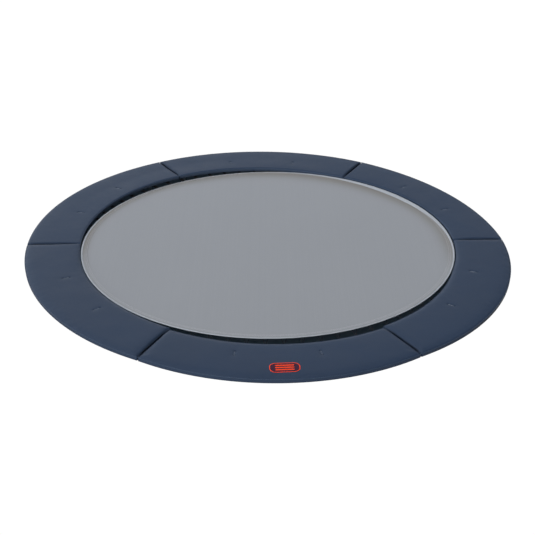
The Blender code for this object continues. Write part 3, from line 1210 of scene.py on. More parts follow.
                # Painted shade in the pits at both ends of each tack.
                depths[index] = max(depths[index], 0.8 * ends)
                crease = math.sin(u * 210 + v * 35) * math.exp(-(abs(v) / 0.022)) * math.exp(-(past / 0.02) ** 2)
                drop -= self.tack_depth * (0.8 * groove * dimple + 0.2 * bowl) + 0.4 * MM * crease * (1 - groove)
            vert.co.z = co.z + drop * min((up - 0.35) / 0.4, 1.0)
        edge.data.foreach_set("value", values)
        crevice_shade.data.foreach_set("value", depths)
        piece.data.update()

    def cover(self) -> bpy.types.Object:
        """Make the padded cover.

        Returns:
            The cover, which stands for the pad's solid.
        """
        piece = place_piece(f"pad_cover_{self.number}", self.slab(), VINYL, None, crease=180.0)
        self.swell(piece)
        self.finer(piece)
        self.tuck(piece)
        piece.data.shade_smooth()
        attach(piece, Body.FRAME.value)
        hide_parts(self.node)
        return piece

    def heights(self, cover: bpy.types.Object) -> Callable[[Vector], float]:
        """Return a function that gives the cover's top height at a plan point.

        Args:
            cover: The pad's cover.

        Returns:
            The function.
        """
        cover_tree = bpy.context.evaluated_depsgraph_get()
        shown = cover.evaluated_get(cover_tree)

        def top_at(point: Vector) -> float:
            """Return the height of the cover's top there."""
            hit, place, _, _ = shown.ray_cast(Vector((point.x, point.y, self.top + 0.1)), Vector((0, 0, -1)))
            return place.z if hit else self.bottom + self.edge_height

        return top_at

    def piping(self) -> bpy.types.Object:
        """Make the welt that runs round the cover's upper seam.

        Returns:
            The finished piece.
        """
        bm = bmesh.new()
        path = self.plan.outline(1.9 * MM, 0.022)
        for point in path:
            across = self.plan.across_of(point)
            high = self.bottom + self.edge_height - self.corner * 0.75
            point.z = high + self.raised(math.atan2(point.y, point.x), across)
        tube_along(bm, path, self.piping_radius, 8, closed=True)
        bmesh.ops.recalc_face_normals(bm, faces=bm.faces)
        piece = place_piece(f"pad_piping_{self.number}", bm, PIPING, Body.FRAME)
        # The whole welt takes part of the lighter edge colour: painted highlight.
        edge = piece.data.attributes.new("edge", "FLOAT", "POINT")
        edge.data.foreach_set("value", np.full(len(piece.data.vertices), 0.55, np.float32))
        # Painted shade where the welt runs into the seams.
        crevice_shade = piece.data.attributes.new("crevice_shade", "FLOAT", "POINT")
        crevice_shade.data.foreach_set("value", [self.shaded(vert.co) for vert in piece.data.vertices])
        return piece

    def seam_stitches(self, top_at: Callable[[Vector], float]) -> bpy.types.Object:
        """Sew a row of stitches inside the piping, all round.

        Args:
            top_at: Gives the height of the cover's top at a plan point.

        Returns:
            The finished piece.
        """
        stitch = stitch_mesh(6.5 * MM, 1.1 * MM)
        bm = bmesh.new()
        path = self.plan.outline(11 * MM, 9 * MM)
        for here, after in zip(path, path[1:]):
            mid = (here + after) / 2
            mid.z = top_at(mid) + 0.15 * MM
            append_copy(bm, stitch, Matrix.Translation(mid) @ frame_along(after - here))
        bpy.data.meshes.remove(stitch)
        return place_piece(f"pad_stitches_{self.number}", bm, NAVY_THREAD, Body.FRAME)

    def tack_stitches(self, top_at: Callable[[Vector], float]) -> bpy.types.Object:
        """Sew the two tacks: a long narrow box of stitches each.

        Args:
            top_at: Gives the height of the cover's top at a plan point.

        Returns:
            The finished piece.
        """
        stitch = stitch_mesh(6.5 * MM, 1.2 * MM)
        bm = bmesh.new()
        rows = 9
        for middle, out in self.tack_places():
            direction = polar(1.0, out)
            beside = polar(1.0, out + math.pi / 2)
            for row in (-1, 1):
                for k in range(rows):
                    u = ((k + 0.5) / rows - 0.5) * self.tack_length
                    spot = middle + direction * u + beside * (row * 3.2 * MM)
                    spot.z = top_at(spot) + 0.15 * MM
                    append_copy(bm, stitch, Matrix.Translation(spot) @ frame_along(direction))
            for k in (-1, 1):
                spot = middle + direction * (k * self.tack_length / 2)
                spot.z = top_at(spot) + 0.15 * MM
                append_copy(bm, stitch, Matrix.Translation(spot) @ frame_along(beside))
        bpy.data.meshes.remove(stitch)
        return place_piece(f"pad_tacks_{self.number}", bm, TACK_THREAD, Body.FRAME)

    def strap(self, label: str, turn: float, rail_radius: float, rail_z: float) -> bpy.types.Object:
        """Make one elastic loop round the rail, sewn up to the cover's underside.

        Args:
            label: The loop's letter in its node's name.
            turn: Its angle from the pad's middle.
            rail_radius: The rail ring's middle line.
            rail_z: The rail's height.

        Returns:
            The finished piece.
        """
        node = f"pad_strap_{self.number}{label}"
        low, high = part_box(node)
        reach = (high.z - low.z) / 2
        width = 30 * MM
        section = [(reach - 2.0 * MM, -width / 2), (reach, -width / 2 + 0.6 * MM), (reach, width / 2 - 0.6 * MM),
                   (reach - 2.0 * MM, width / 2)]
        bm = spun(section, 0.0, 2 * math.pi, 40)
        angle = self.plan.middle + turn
        place = (
            Matrix.Translation(polar(rail_radius, angle, rail_z))
            @ Matrix.Rotation(angle, 4, "Z")
            @ Matrix.Rotation(math.pi / 2, 4, "X")
        )
        bmesh.ops.transform(bm, matrix=place, verts=bm.verts)
        piece = place_piece(f"pad_loop_{self.number}{label}", bm, ELASTIC, Body.FRAME)
        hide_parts(node)
        return piece

    def build(self, rail_radius: float, rail_z: float) -> bpy.types.Object:
        """Make the whole pad and its loops, and return its cover.

        Args:
            rail_radius: The rail ring's middle line.
            rail_z: The rail's height.

        Returns:
            The cover.
        """
        cover = self.cover()
        bpy.context.view_layer.update()
        top_at = self.heights(cover)
        self.piping()
        self.seam_stitches(top_at)
        self.tack_stitches(top_at)
        for label, side in (("a", -1), ("b", 1)):
            self.strap(label, side * self.tack_turn, rail_radius, rail_z)
        LOG.info("edge pad %d with piping, stitches, tacks and loops", self.number)
        return cover


@dataclass
class Badge:
    """A plain bordered patch printed on the near pad, with three bars and no lettering."""

    pad: EdgePad
    width: float = 0.209
    depth: float = 0.112
    corner: float = 0.044
    thickness: float = 1.0 * MM
    across: float = 0.715
    side_step: float = math.radians(1.1)

    def outline(self, shrink: float) -> list[tuple[float, float]]:
        """Return the rounded rectangle's outline, drawn in by a margin.

        Args:
            shrink: How far in the outline is drawn.

        Returns:
            The outline, about the badge's own middle.
        """
        w, d, c = self.width / 2 - shrink, self.depth / 2 - shrink, self.corner - shrink
        points = []
        for sx, sy, start in ((1, 1, 0), (-1, 1, 90), (-1, -1, 180), (1, -1, 270)):
            points += round_corner((sx * (w - c), sy * (d - c)), c, start, start + 90, 8)
        return points

    def lay(self, bm: bmesh.types.BMesh, top_at: Callable[[Vector], float], lift: float) -> None:
        """Lay a flat patch on the pad's crowned top.

        Args:
            bm: The patch in its own plane.
            top_at: The pad's height.
            lift: How far above the cover it stands.
        """
        plan = self.pad.plan
        angle = plan.middle + self.side_step
        near, far = plan.sides(angle)
        middle = near.lerp(far, self.across)
        turn = Matrix.Translation(middle) @ Matrix.Rotation(angle + math.pi / 2, 4, "Z")
        bmesh.ops.transform(bm, matrix=turn, verts=bm.verts)
        for vert in bm.verts:
            vert.co.z += top_at(vert.co) + lift

    def patch(self, points: Sequence[tuple[float, float]], thickness: float) -> bmesh.types.BMesh:
        """Return a thin filled patch, cut fine enough to follow the pad.

        Args:
            points: The outline.
            thickness: How thick the patch is.

        Returns:
            The mesh, flat and about the badge's middle.
        """
        bm = bmesh.new()
        verts = [bm.verts.new((x, y, 0)) for x, y in points]
        bm.faces.new(verts)
        for axis in (Vector((1, 0, 0)), Vector((0, 1, 0))):
            for step in range(-6, 7):
                bmesh.ops.bisect_plane(
                    bm, geom=list(bm.faces) + list(bm.edges) + list(bm.verts), plane_co=axis * step * 0.017,
                    plane_no=axis,
                )
        raised = bmesh.ops.extrude_face_region(bm, geom=list(bm.faces))["geom"]
        upper = [g for g in raised if isinstance(g, bmesh.types.BMVert)]
        bmesh.ops.translate(bm, vec=(0, 0, thickness), verts=upper)
        bmesh.ops.recalc_face_normals(bm, faces=bm.faces)
        return bm

    def bar(self, x: float, y: float, length: float, height: float) -> list[tuple[float, float]]:
        """Return a bar's outline with round ends.

        Args:
            x: The bar's middle, sideways.
            y: The bar's middle, upwards.
            length: Its length.
            height: Its height.

        Returns:
            The outline.
        """
        r = height / 2
        right = round_corner((x + length / 2 - r, y), r, -90, 90, 8)
        left = round_corner((x - length / 2 + r, y), r, 90, 270, 8)
        return right + left

    def build(self, cover: bpy.types.Object) -> None:
        """Make the ground, the border and the bars.

        Args:
            cover: The cover of the pad that the badge is printed on.
        """
        top_at = self.pad.heights(cover)
        ground = self.patch(self.outline(0.0), self.thickness)
        self.lay(ground, top_at, 0.1 * MM)
        pieces = [place_piece("badge_ground", ground, BADGE_GROUND, Body.FRAME)]
        border = bmesh.new()
        path = [Vector((x, y, 0)) for x, y in self.outline(3.0 * MM)]
        clean = [p for p, q in zip(path, path[1:] + path[:1]) if (p - q).length > 1e-5]
        tube_along(border, clean, 3.0 * MM, 8, closed=True)
        bmesh.ops.scale(border, vec=(1, 1, 0.25), verts=border.verts)
        bmesh.ops.recalc_face_normals(border, faces=border.faces)
        self.lay(border, top_at, self.thickness)
        pieces.append(place_piece("badge_border", border, BADGE_PRINT, Body.FRAME))
        for number, (x, y, length) in enumerate(((0.0, 0.026, 0.13), (0.0, 0.0, 0.13), (0.0, -0.026, 0.13))):
            bar = self.patch(self.bar(x, y, length, 0.013), 0.3 * MM)
            self.lay(bar, top_at, self.thickness + 0.15 * MM)
            pieces.append(place_piece(f"badge_bar_{number + 1}", bar, BADGE_PRINT, Body.FRAME))
        for piece in pieces:
            edge = piece.data.attributes.new("edge", "FLOAT", "POINT")
            edge.data.foreach_set("value", np.zeros(len(piece.data.vertices), np.float32))
        LOG.info("badge of %d pieces", len(pieces))


@dataclass
class JumpBed:
    """The woven sheet, the band sewn on its edge, the rolled hem and their stitches."""

    centre: Vector
    hem_radius: float
    top: float
    dish: Dish
    rim: Rim
    rings: int = 58
    steps: int = 240
    sag: float = 5 * MM
    sheet_thickness: float = 1.6 * MM
    band_width: float = 38 * MM
    bead_width: float = 17 * MM

    def surface(self, radius: float, angle: float) -> float:
        """Return the height of the sheet's top at a place.

        Args:
            radius: The distance from the middle.
            angle: The angle round the middle.

        Returns:
            The height.
        """
        share = min(radius / self.hem_radius, 1.0)
        taut = self.top - self.sag * (1 - share**2)
        pull = 0.5 * MM * math.cos(angle * 72) * math.exp(-(self.hem_radius - radius) / 0.05)
        return taut + self.rim.rise(radius, angle) + pull

    def edge_shaded(self, piece: bpy.types.Object) -> bpy.types.Object:
        """Write how much painted shade each point takes, for the finish to darken it by.

        Args:
            piece: A piece of the bed's top.

        Returns:
            The same piece.
        """
        # Painted shade near the rim, kept per point.
        wear_and_painted_light = piece.data.attributes.new("painted_edge_shade", "FLOAT", "POINT")
        values = []
        for vert in piece.data.vertices:
            rel = vert.co - self.centre
            angle = math.atan2(rel.y, rel.x)
            values.append(self.rim.painted_edge_shade(self.hem_radius - self.rim.tape(angle) - rel.xy.length, angle))
        wear_and_painted_light.data.foreach_set("value", values)
        return piece

    def settle(self, bm: bmesh.types.BMesh) -> None:
        """Drop a ring drawn about zero onto the sheet's surface, round the mat's middle.

        Args:
            bm: A ring or disc drawn about zero.
        """
        for vert in bm.verts:
            angle = math.atan2(vert.co.y, vert.co.x)
            vert.co.z += self.surface(vert.co.xy.length, angle)
            vert.co.xy *= self.rim.drawn(vert.co.xy.length, angle) / max(vert.co.xy.length, 1e-6)
            vert.co.x += self.centre.x
            vert.co.y += self.centre.y

    def sheet(self) -> bpy.types.Object:
        """Make the woven sheet as one disc with a hair of thickness.

        Returns:
            The finished piece.
        """
        bm = bmesh.new()
        reach = self.hem_radius - 6 * MM
        first = bm.verts.new((0, 0, 0))
        radii = [reach * (k / self.rings) ** 0.70 for k in range(1, self.rings + 1)]
        row = [first] + [bm.verts.new((r, 0, 0)) for r in radii]
        edges = [bm.edges.new(pair) for pair in zip(row, row[1:])]
        bmesh.ops.spin(
            bm, geom=row + edges, cent=(0, 0, 0), axis=(0, 0, 1), angle=2 * math.pi, steps=self.steps,
            use_merge=True, use_duplicate=False,
        )
        bmesh.ops.remove_doubles(bm, verts=bm.verts, dist=1e-6)
        bmesh.ops.recalc_face_normals(bm, faces=bm.faces)
        if sum(f.normal.z for f in bm.faces) < 0:
            bmesh.ops.reverse_faces(bm, faces=bm.faces)
        upper = bmesh.ops.extrude_face_region(bm, geom=list(bm.faces), use_keep_orig=True)["geom"]
        raised = [g for g in upper if isinstance(g, bmesh.types.BMVert)]
        bmesh.ops.translate(bm, vec=(0, 0, self.sheet_thickness), verts=raised)
        bmesh.ops.translate(bm, vec=(0, 0, -self.sheet_thickness), verts=bm.verts)
        bmesh.ops.recalc_face_normals(bm, faces=bm.faces)
        self.settle(bm)
        piece = self.edge_shaded(place_piece("mat_sheet", bm, MAT, None))
        self.dish.bend(piece)
        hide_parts("jump_mat")
        return piece

    def ring(
        self, name: str, profile: Sequence[tuple[float, float]], finish: Finish, uneven: bool = False
    ) -> bpy.types.Object:
        """Make a ring of tape that follows the sheet's edge.

        Args:
            name: The piece's name.
            profile: The section of the tape: distance from the middle, and height.
            finish: Its finish.
            uneven: Whether its width follows the rim's.

        Returns:
            The finished piece.
        """
        bm = spun(profile, 0.0, 2 * math.pi, 360)
        if uneven:
            for vert in bm.verts:
                angle = math.atan2(vert.co.y, vert.co.x)
                in_from_edge = self.hem_radius - vert.co.xy.length
                vert.co.xy *= 1 - in_from_edge * (self.rim.tape(angle) / self.bead_width - 1) / vert.co.xy.length
        self.settle(bm)
        piece = place_piece(name, bm, finish, None)
        self.dish.bend(piece)
        return piece

    def band(self) -> bpy.types.Object:
        """Make the darker tape sewn on top, inside the hem.

        Returns:
            The finished piece.
        """
        out = self.hem_radius - self.bead_width + 2 * MM
        inn = out - self.band_width
        rows = [(inn + (out - inn) * k / 8, (1.2 + 0.2 * k / 8) * MM) for k in range(1, 9)]
        profile = [(inn, 0.2 * MM), (inn + 0.8 * MM, 1.2 * MM)] + rows + [(out, 0.2 * MM)]
        return self.edge_shaded(self.ring("mat_band", profile, BAND))

    def hem(self) -> bpy.types.Object:
        """Make the rolled pale tape that binds the edge.

        Returns:
            The finished piece.
        """
        out, inn = self.hem_radius, self.hem_radius - self.bead_width
        half = 3.2 * MM
        nose = round_corner((out - half, -0.4 * MM), half, -90, 90, 10)
        top = [(out - 9 * MM, 2.9 * MM), (inn + 1.5 * MM, 2.1 * MM), (inn, 1.5 * MM)]
        under = [(inn, -2.2 * MM), (inn + 1.5 * MM, -2.9 * MM)]
        return self.ring("mat_hem_tape", nose + top + under, HEM, uneven=True)

    def stitches(self) -> bpy.types.Object:
        """Sew two rows on the band and one on the hem, all round.

        Returns:
            The finished piece.
        """
        stitch = stitch_mesh(8.5 * MM, 1.3 * MM)
        bm = bmesh.new()
        out = self.hem_radius - self.bead_width
        rows = ((out - 16 * MM, 1.5 * MM), (out - self.band_width + 8 * MM, 1.5 * MM), (out + 11 * MM, 3.0 * MM))
        for radius, lift in rows:
            count = round(2 * math.pi * radius / (11 * MM))
            for k in range(count):
                angle = 2 * math.pi * k / count
                spot = polar(self.rim.drawn(radius, angle), angle, lift + self.surface(radius, angle))
                spot += self.centre.xy.to_3d()
                append_copy(bm, stitch, Matrix.Translation(spot) @ frame_along(polar(1.0, angle + math.pi / 2)))
        bpy.data.meshes.remove(stitch)
        piece = place_piece("mat_stitches", bm, GREY_THREAD, None)
        self.dish.bend(piece)
        return piece

    def build(self) -> None:
        sheet = self.sheet()
        band, hem, stitches = self.band(), self.hem(), self.stitches()
        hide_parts("mat_hem")


@dataclass
class SpringRing:
    """The springs, the mat rings that they pull on and the tape that holds those."""

    centre: Vector
    hem_radius: float
    rail_radius: float
    rail_tube: float
    level: float
    web_top: float
    dish: Dish
    rim: Rim
    per_set: int = 12
    coil_radius: float = 9.6 * MM
    wire: float = 1.6 * MM
    turns: int = 44
    steps_per_turn: int = 9
    slack: float = 0.235
    ring_wire: float = 2.4 * MM

    def coil(self, length: float) -> bpy.types.Mesh:
        """Return a spring along +X from 0 to its length, hooks included.

        Args:
            length: From the bend of one hook to the bend of the other.

        Returns:
            The mesh, to be copied.
        """
        body = length - 2 * 20 * MM
        bm = bmesh.new()
        section = bmesh.ops.create_circle(
            bm, segments=5, radius=self.wire,
            matrix=Matrix.Translation((20 * MM, 0, self.coil_radius)) @ Matrix.Rotation(math.pi / 2, 4, "X"),
        )["verts"]
        edges = list({e for v in section for e in v.link_edges})
        caps = bmesh.ops.contextual_create(bm, geom=edges)["faces"]
        steps = self.turns * self.steps_per_turn
        bmesh.ops.spin(
            bm, geom=section + edges + caps, cent=(0, 0, 0), axis=(1, 0, 0), dvec=(body / steps, 0, 0),
            angle=2 * math.pi * self.turns, steps=steps, use_duplicate=False,
        )
        for end, way in ((0.0, 1), (length, -1)):
            bend = 6.5 * MM
            path = [Vector((end + way * 20.5 * MM, 0, self.coil_radius)), Vector((end + way * 17 * MM, 0, 5 * MM)),
                    Vector((end + way * 14 * MM, 0, 1 * MM)), Vector((end + way * bend, 0, 0))]
            for k in range(1, 9):
                turn = k / 8 * math.radians(215)
                path.append(Vector((end + way * (bend - bend * math.sin(turn)), 0, -bend + bend * math.cos(turn))))
            tube_along(bm, path, self.wire, 6)
        bmesh.ops.recalc_face_normals(bm, faces=bm.faces)
        return template(bm, "coil")

    def ends(self, angle: float) -> tuple[Vector, Vector]:
        """Return a spring's inner and outer hook places at an angle.

        Args:
            angle: The angle round the middle.

        Returns:
            The inner place and the outer.
        """
        rim = polar(self.hem_radius, angle, self.level) + self.centre.xy.to_3d()
        hooked = polar(self.rail_radius - self.rail_tube + 3 * MM, angle, self.level)
        out = (hooked - rim).normalized()
        return rim + out * 18 * MM, hooked

    def angles(self, number: int) -> list[float]:
        """Return the angles of a rail's springs."""
        return [PAD_TURN + (number - 1 + (k + 0.5) / self.per_set) * SECTOR for k in range(self.per_set)]

    def springs(self, number: int, coil: bpy.types.Mesh) -> bpy.types.Object:
        """Make the twelve springs of a rail, each stretched to its own place.

        Args:
            number: The rail's number, from 1.
            coil: The spring that is copied.

        Returns:
            The finished piece.
        """
        bm = bmesh.new()
        for angle in self.angles(number):
            inner, outer = self.ends(angle)
            stretch = Matrix.Diagonal(((outer - inner).length / self.slack, 1, 1, 1))
            append_copy(bm, coil, Matrix.Translation(inner) @ frame_along(outer - inner) @ stretch)
        piece = place_piece(f"springs_{number}", bm, COIL, None, crease=60.0)
        self.dish.bend(piece)
        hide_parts(f"spring_set_{number}")
        return piece

    def rings(self, number: int) -> bpy.types.Object:
        """Make the twelve three-cornered mat rings of a rail.

        Args:
            number: The rail's number, from 1.

        Returns:
            The finished piece.
        """
        bm = bmesh.new()
        for angle in self.angles(number):
            inner, outer = self.ends(angle)
            out = (outer - inner).normalized()
            beside = Vector((-out.y, out.x, 0))
            tip = inner + out * 2 * MM - Vector((0, 0, 2 * MM))
            sewn = polar(self.hem_radius - 34 * MM, angle, self.web_top) + self.centre.xy.to_3d()
            sewn.z += self.rim.rise(self.hem_radius - 34 * MM, angle)
            corners = [tip, sewn + beside * 22 * MM, sewn - beside * 22 * MM]
            path = []
            for i, corner in enumerate(corners):
                before, after = corners[i - 1], corners[(i + 1) % 3]
                path += [corner.lerp(before, 0.12), corner.lerp(before.lerp(after, 0.5), 0.04),
                         corner.lerp(after, 0.12)]
            tube_along(bm, path, self.ring_wire, 8, closed=True)
        bmesh.ops.recalc_face_normals(bm, faces=bm.faces)
        piece = place_piece(f"mat_rings_{number}", bm, COIL, None, crease=80.0)
        self.dish.bend(piece)
        return piece

    def tape(self, number: int) -> bpy.types.Object:
        """Make the stretch of tape under the edge that holds a rail's rings.

        Args:
            number: The rail's number, from 1.

        Returns:
            The finished piece.
        """
        inn, out = self.hem_radius - 58 * MM, self.hem_radius - 24 * MM
        low, high = self.web_top - 4 * MM, self.web_top + 3 * MM
        profile = [(inn, high - 1 * MM), (inn, high), (out, high), (out, high - 2 * MM), (out - 6 * MM, low),
                   (out - 14 * MM, low), (inn + 6 * MM, high - 2.5 * MM)]
        bm = spun(profile, PAD_TURN + (number - 1) * SECTOR, SECTOR - 0.5 * MM, 60)
        for vert in bm.verts:
            vert.co.z += self.rim.rise(vert.co.xy.length, math.atan2(vert.co.y, vert.co.x))
        bmesh.ops.translate(bm, vec=self.centre.xy.to_3d(), verts=bm.verts)
        piece = place_piece(f"ring_tape_{number}", bm, UNDER_WEB, None)
        self.dish.bend(piece)
        return piece

    def build(self) -> None:
        """Make all the spring sets."""
        coil = self.coil(self.slack)
        for number in range(1, SECTORS + 1):
            self.springs(number, coil)
            self.rings(number)
            self.tape(number)
            LOG.info("spring set %d with its rings and tape", number)
        bpy.data.meshes.remove(coil)


@dataclass
class FrameRing:
    """Rails, sleeves, legs and feet, with their welds and screws."""

    radius: float
    tube: float
    level: float
    wall: float = 2 * MM
    leg_tube: float = 21 * MM
    leg_half: float = 0.180
    leg_bend: float = 70 * MM
    peg_radius: float = 17.5 * MM
    peg_end: float = 0.1535
    sleeve: float = 28.5 * MM

    def rail(self, number: int) -> bpy.types.Object:
        """Make a curved rail with its two pegs.

        Args:
            number: The rail's number, from 1.

        Returns:
            The finished piece.
        """
        middle = PAD_TURN + (number - 1) * SECTOR
        trim = 2 * MM / self.radius
        outer = round_corner((self.radius, self.level), self.tube, 0, 360 - 15, 23)
        bm = bmesh.new()
        verts = [bm.verts.new(polar(r, middle - SECTOR / 2 + trim, z)) for r, z in outer]
        edges = [bm.edges.new(pair) for pair in zip(verts, verts[1:] + verts[:1])]
        bmesh.ops.spin(bm, geom=verts + edges, cent=(0, 0, 0), axis=(0, 0, 1), angle=SECTOR - 2 * trim, steps=48,
                       use_duplicate=False)
        bmesh.ops.recalc_face_normals(bm, faces=bm.faces)
        bmesh.ops.solidify(bm, geom=list(bm.faces), thickness=self.wall)
        side = math.asin(self.leg_half / self.radius)
        for turn in (-side, side):
            foot = polar(self.radius, middle + turn)
            top = self.level - self.tube + 4 * MM
            depth = top - self.peg_end
            bmesh.ops.create_cone(
                bm, cap_ends=True, segments=24, radius1=self.peg_radius, radius2=self.peg_radius, depth=depth,
                matrix=Matrix.Translation((foot.x, foot.y, top - depth / 2)),
            )
        piece = place_piece(f"rail_{number}", bm, ZINC, Body.FRAME)
        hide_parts(f"top_rail_{number}")
        return piece

    def welds(self, number: int) -> bpy.types.Object:
        """Make the lumpy weld bead round each peg.

        Args:
            number: The rail's number, from 1.

        Returns:
            The finished piece.
        """
        bm = bmesh.new()
        middle = PAD_TURN + (number - 1) * SECTOR
        side = math.asin(self.leg_half / self.radius)
        for turn in (-side, side):
            foot = polar(self.radius, middle + turn)
            path = []
            for k in range(36):
                a = 2 * math.pi * k / 36
                out = self.peg_radius + 0.6 * MM
                off = out * math.cos(a)
                x = foot + polar(1.0, middle + turn) * off + polar(1.0, middle + turn + math.pi / 2) * out * math.sin(a)
                x.z = self.level - math.sqrt(self.tube**2 - off**2) - 0.6 * MM
                path.append(x)
            tube_along(bm, path, 1.9 * MM, 6, closed=True)
        for vert in bm.verts:
            vert.co += vert.co.normalized() * 0.35 * MM * noise.noise(vert.co * 420)
        bmesh.ops.recalc_face_normals(bm, faces=bm.faces)
        return place_piece(f"rail_welds_{number}", bm, WELD, Body.FRAME)

    def joint_sleeve(self, number: int) -> bpy.types.Object:
        """Make a sleeve over the joint of two rails.

        Args:
            number: The rail's number, from 1.

        Returns:
            The finished piece.
        """
        joint = PAD_TURN + (number - 0.5) * SECTOR
        half = math.radians(1.8)
        outer = round_corner((self.radius, self.level), self.sleeve, 0, 345, 23)
        bm = bmesh.new()
        verts = [bm.verts.new(polar(r, joint - half, z)) for r, z in outer]
        edges = [bm.edges.new(pair) for pair in zip(verts, verts[1:] + verts[:1])]
        bmesh.ops.spin(bm, geom=verts + edges, cent=(0, 0, 0), axis=(0, 0, 1), angle=2 * half, steps=6,
                       use_duplicate=False)
        bmesh.ops.recalc_face_normals(bm, faces=bm.faces)
        bmesh.ops.solidify(bm, geom=list(bm.faces), thickness=self.wall)
        piece = place_piece(f"joint_sleeve_{number}", bm, ZINC, Body.FRAME)
        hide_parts(f"rail_sleeve_{number}")
        return piece

    def screws(self, number: int) -> bpy.types.Object:
        """Make the two hex-headed screws through a sleeve.

        Args:
            number: The rail's number, from 1.

        Returns:
            The finished piece.
        """
        joint = PAD_TURN + (number - 0.5) * SECTOR
        bm = bmesh.new()
        for turn in (-math.radians(1.1), math.radians(1.1)):
            angle = joint + turn
            base = polar(self.radius, angle, self.level - self.sleeve - 0.4 * MM)
            for segments, r, depth, drop in ((24, 7.5 * MM, 1.2 * MM, 0.6 * MM), (6, 5.2 * MM, 4 * MM, 3.2 * MM)):
                bmesh.ops.create_cone(
                    bm, cap_ends=True, segments=segments, radius1=r * 0.94, radius2=r, depth=depth,
                    matrix=Matrix.Translation(base - Vector((0, 0, drop))),
                )
        return place_piece(f"sleeve_screws_{number}", bm, ZINC, Body.FRAME, crease=30.0)

    def leg(self, number: int) -> bpy.types.Object:
        """Make a U-shaped leg from one bent tube.

        Args:
            number: The rail's number, from 1.

        Returns:
            The finished piece.
        """
        node = f"leg_{number}"
        low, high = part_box(node)
        middle = PAD_TURN + (number - 1) * SECTOR
        base = low.z + self.leg_tube
        bm = bmesh.new()
        ring = bmesh.ops.create_circle(bm, segments=24, radius=self.leg_tube,
                                       matrix=Matrix.Translation((-self.leg_half, 0, high.z)))["verts"]
        edges = list({e for v in ring for e in v.link_edges})

        def straight(edges: list, step: Vector) -> list:
            """Draw the tube straight on and return its new end.

            Args:
                edges: The edges of the open end.
                step: How far and which way.

            Returns:
                The edges of the new end.
            """
            made = bmesh.ops.extrude_edge_only(bm, edges=edges)["geom"]
            fresh = [g for g in made if isinstance(g, bmesh.types.BMVert)]
            bmesh.ops.translate(bm, vec=step, verts=fresh)
            return [g for g in made if isinstance(g, bmesh.types.BMEdge) and all(v in fresh for v in g.verts)]

        def bend(edges: list, hub: Vector) -> list:
            """Bend the tube a quarter turn about a hub and return its new end.

            Args:
                edges: The edges of the open end.
                hub: The middle of the bend.

            Returns:
                The edges of the new end.
            """
            verts = list({v for e in edges for v in e.verts})
            last = bmesh.ops.spin(bm, geom=verts + edges, cent=hub, axis=(0, -1, 0), angle=math.pi / 2, steps=10,
                                  use_duplicate=False)["geom_last"]
            return [g for g in last if isinstance(g, bmesh.types.BMEdge)]

        drop = high.z - base - self.leg_bend
        edges = straight(edges, Vector((0, 0, -drop)))
        edges = bend(edges, Vector((-self.leg_half + self.leg_bend, 0, base + self.leg_bend)))
        edges = straight(edges, Vector((2 * (self.leg_half - self.leg_bend), 0, 0)))
        edges = bend(edges, Vector((self.leg_half - self.leg_bend, 0, base + self.leg_bend)))
        straight(edges, Vector((0, 0, drop)))
        bmesh.ops.remove_doubles(bm, verts=bm.verts, dist=1e-6)
        bmesh.ops.recalc_face_normals(bm, faces=bm.faces)
        bmesh.ops.solidify(bm, geom=list(bm.faces), thickness=1.5 * MM)
        chord = self.radius * math.cos(math.asin(self.leg_half / self.radius))
        place = (
            Matrix.Rotation(middle, 4, "Z") @ Matrix.Translation((chord, 0, 0))
            @ Matrix.Rotation(math.pi / 2, 4, "Z")
        )
        bmesh.ops.transform(bm, matrix=place, verts=bm.verts)
        piece = place_piece(f"bent_leg_{number}", bm, ZINC, Body.FRAME)
        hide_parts(node)
        return piece

    def foot(self, number: int) -> bpy.types.Object:
        """Make a rubber foot with rounded corners.

        Args:
            number: The rail's number, from 1.

        Returns:
            The finished piece.
        """
        node = f"foot_{number}"
        middle = PAD_TURN + (number - 1) * SECTOR
        bm = bmesh.new()
        bmesh.ops.create_cube(bm, size=1.0)
        bmesh.ops.scale(bm, vec=(0.090, 0.300, 8 * MM), verts=bm.verts)
        upright = [e for e in bm.edges if abs(e.verts[0].co.z - e.verts[1].co.z) > 1 * MM]
        bmesh.ops.bevel(bm, geom=upright, offset=14 * MM, offset_type="OFFSET", segments=6, profile=0.5,
                        affect="EDGES", material=-1)
        rim = [e for e in bm.edges if all(v.co.z > 3 * MM for v in e.verts)]
        bmesh.ops.bevel(bm, geom=rim, offset=2 * MM, offset_type="OFFSET", segments=3, profile=0.5,
                        affect="EDGES", material=-1)
        chord = self.radius * math.cos(math.asin(self.leg_half / self.radius))
        place = Matrix.Rotation(middle, 4, "Z") @ Matrix.Translation((chord, 0, 4 * MM))
        bmesh.ops.transform(bm, matrix=place, verts=bm.verts)
        piece = place_piece(f"rubber_foot_{number}", bm, RUBBER, Body.FRAME)
        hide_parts(node)
        return piece

    def build(self) -> None:
        """Make the whole ring."""
        for number in range(1, SECTORS + 1):
            self.rail(number)
            self.welds(number)
            self.joint_sleeve(number)
            self.screws(number)
            self.leg(number)
            self.foot(number)
            LOG.info("rail %d with sleeve, screws, leg and foot", number)


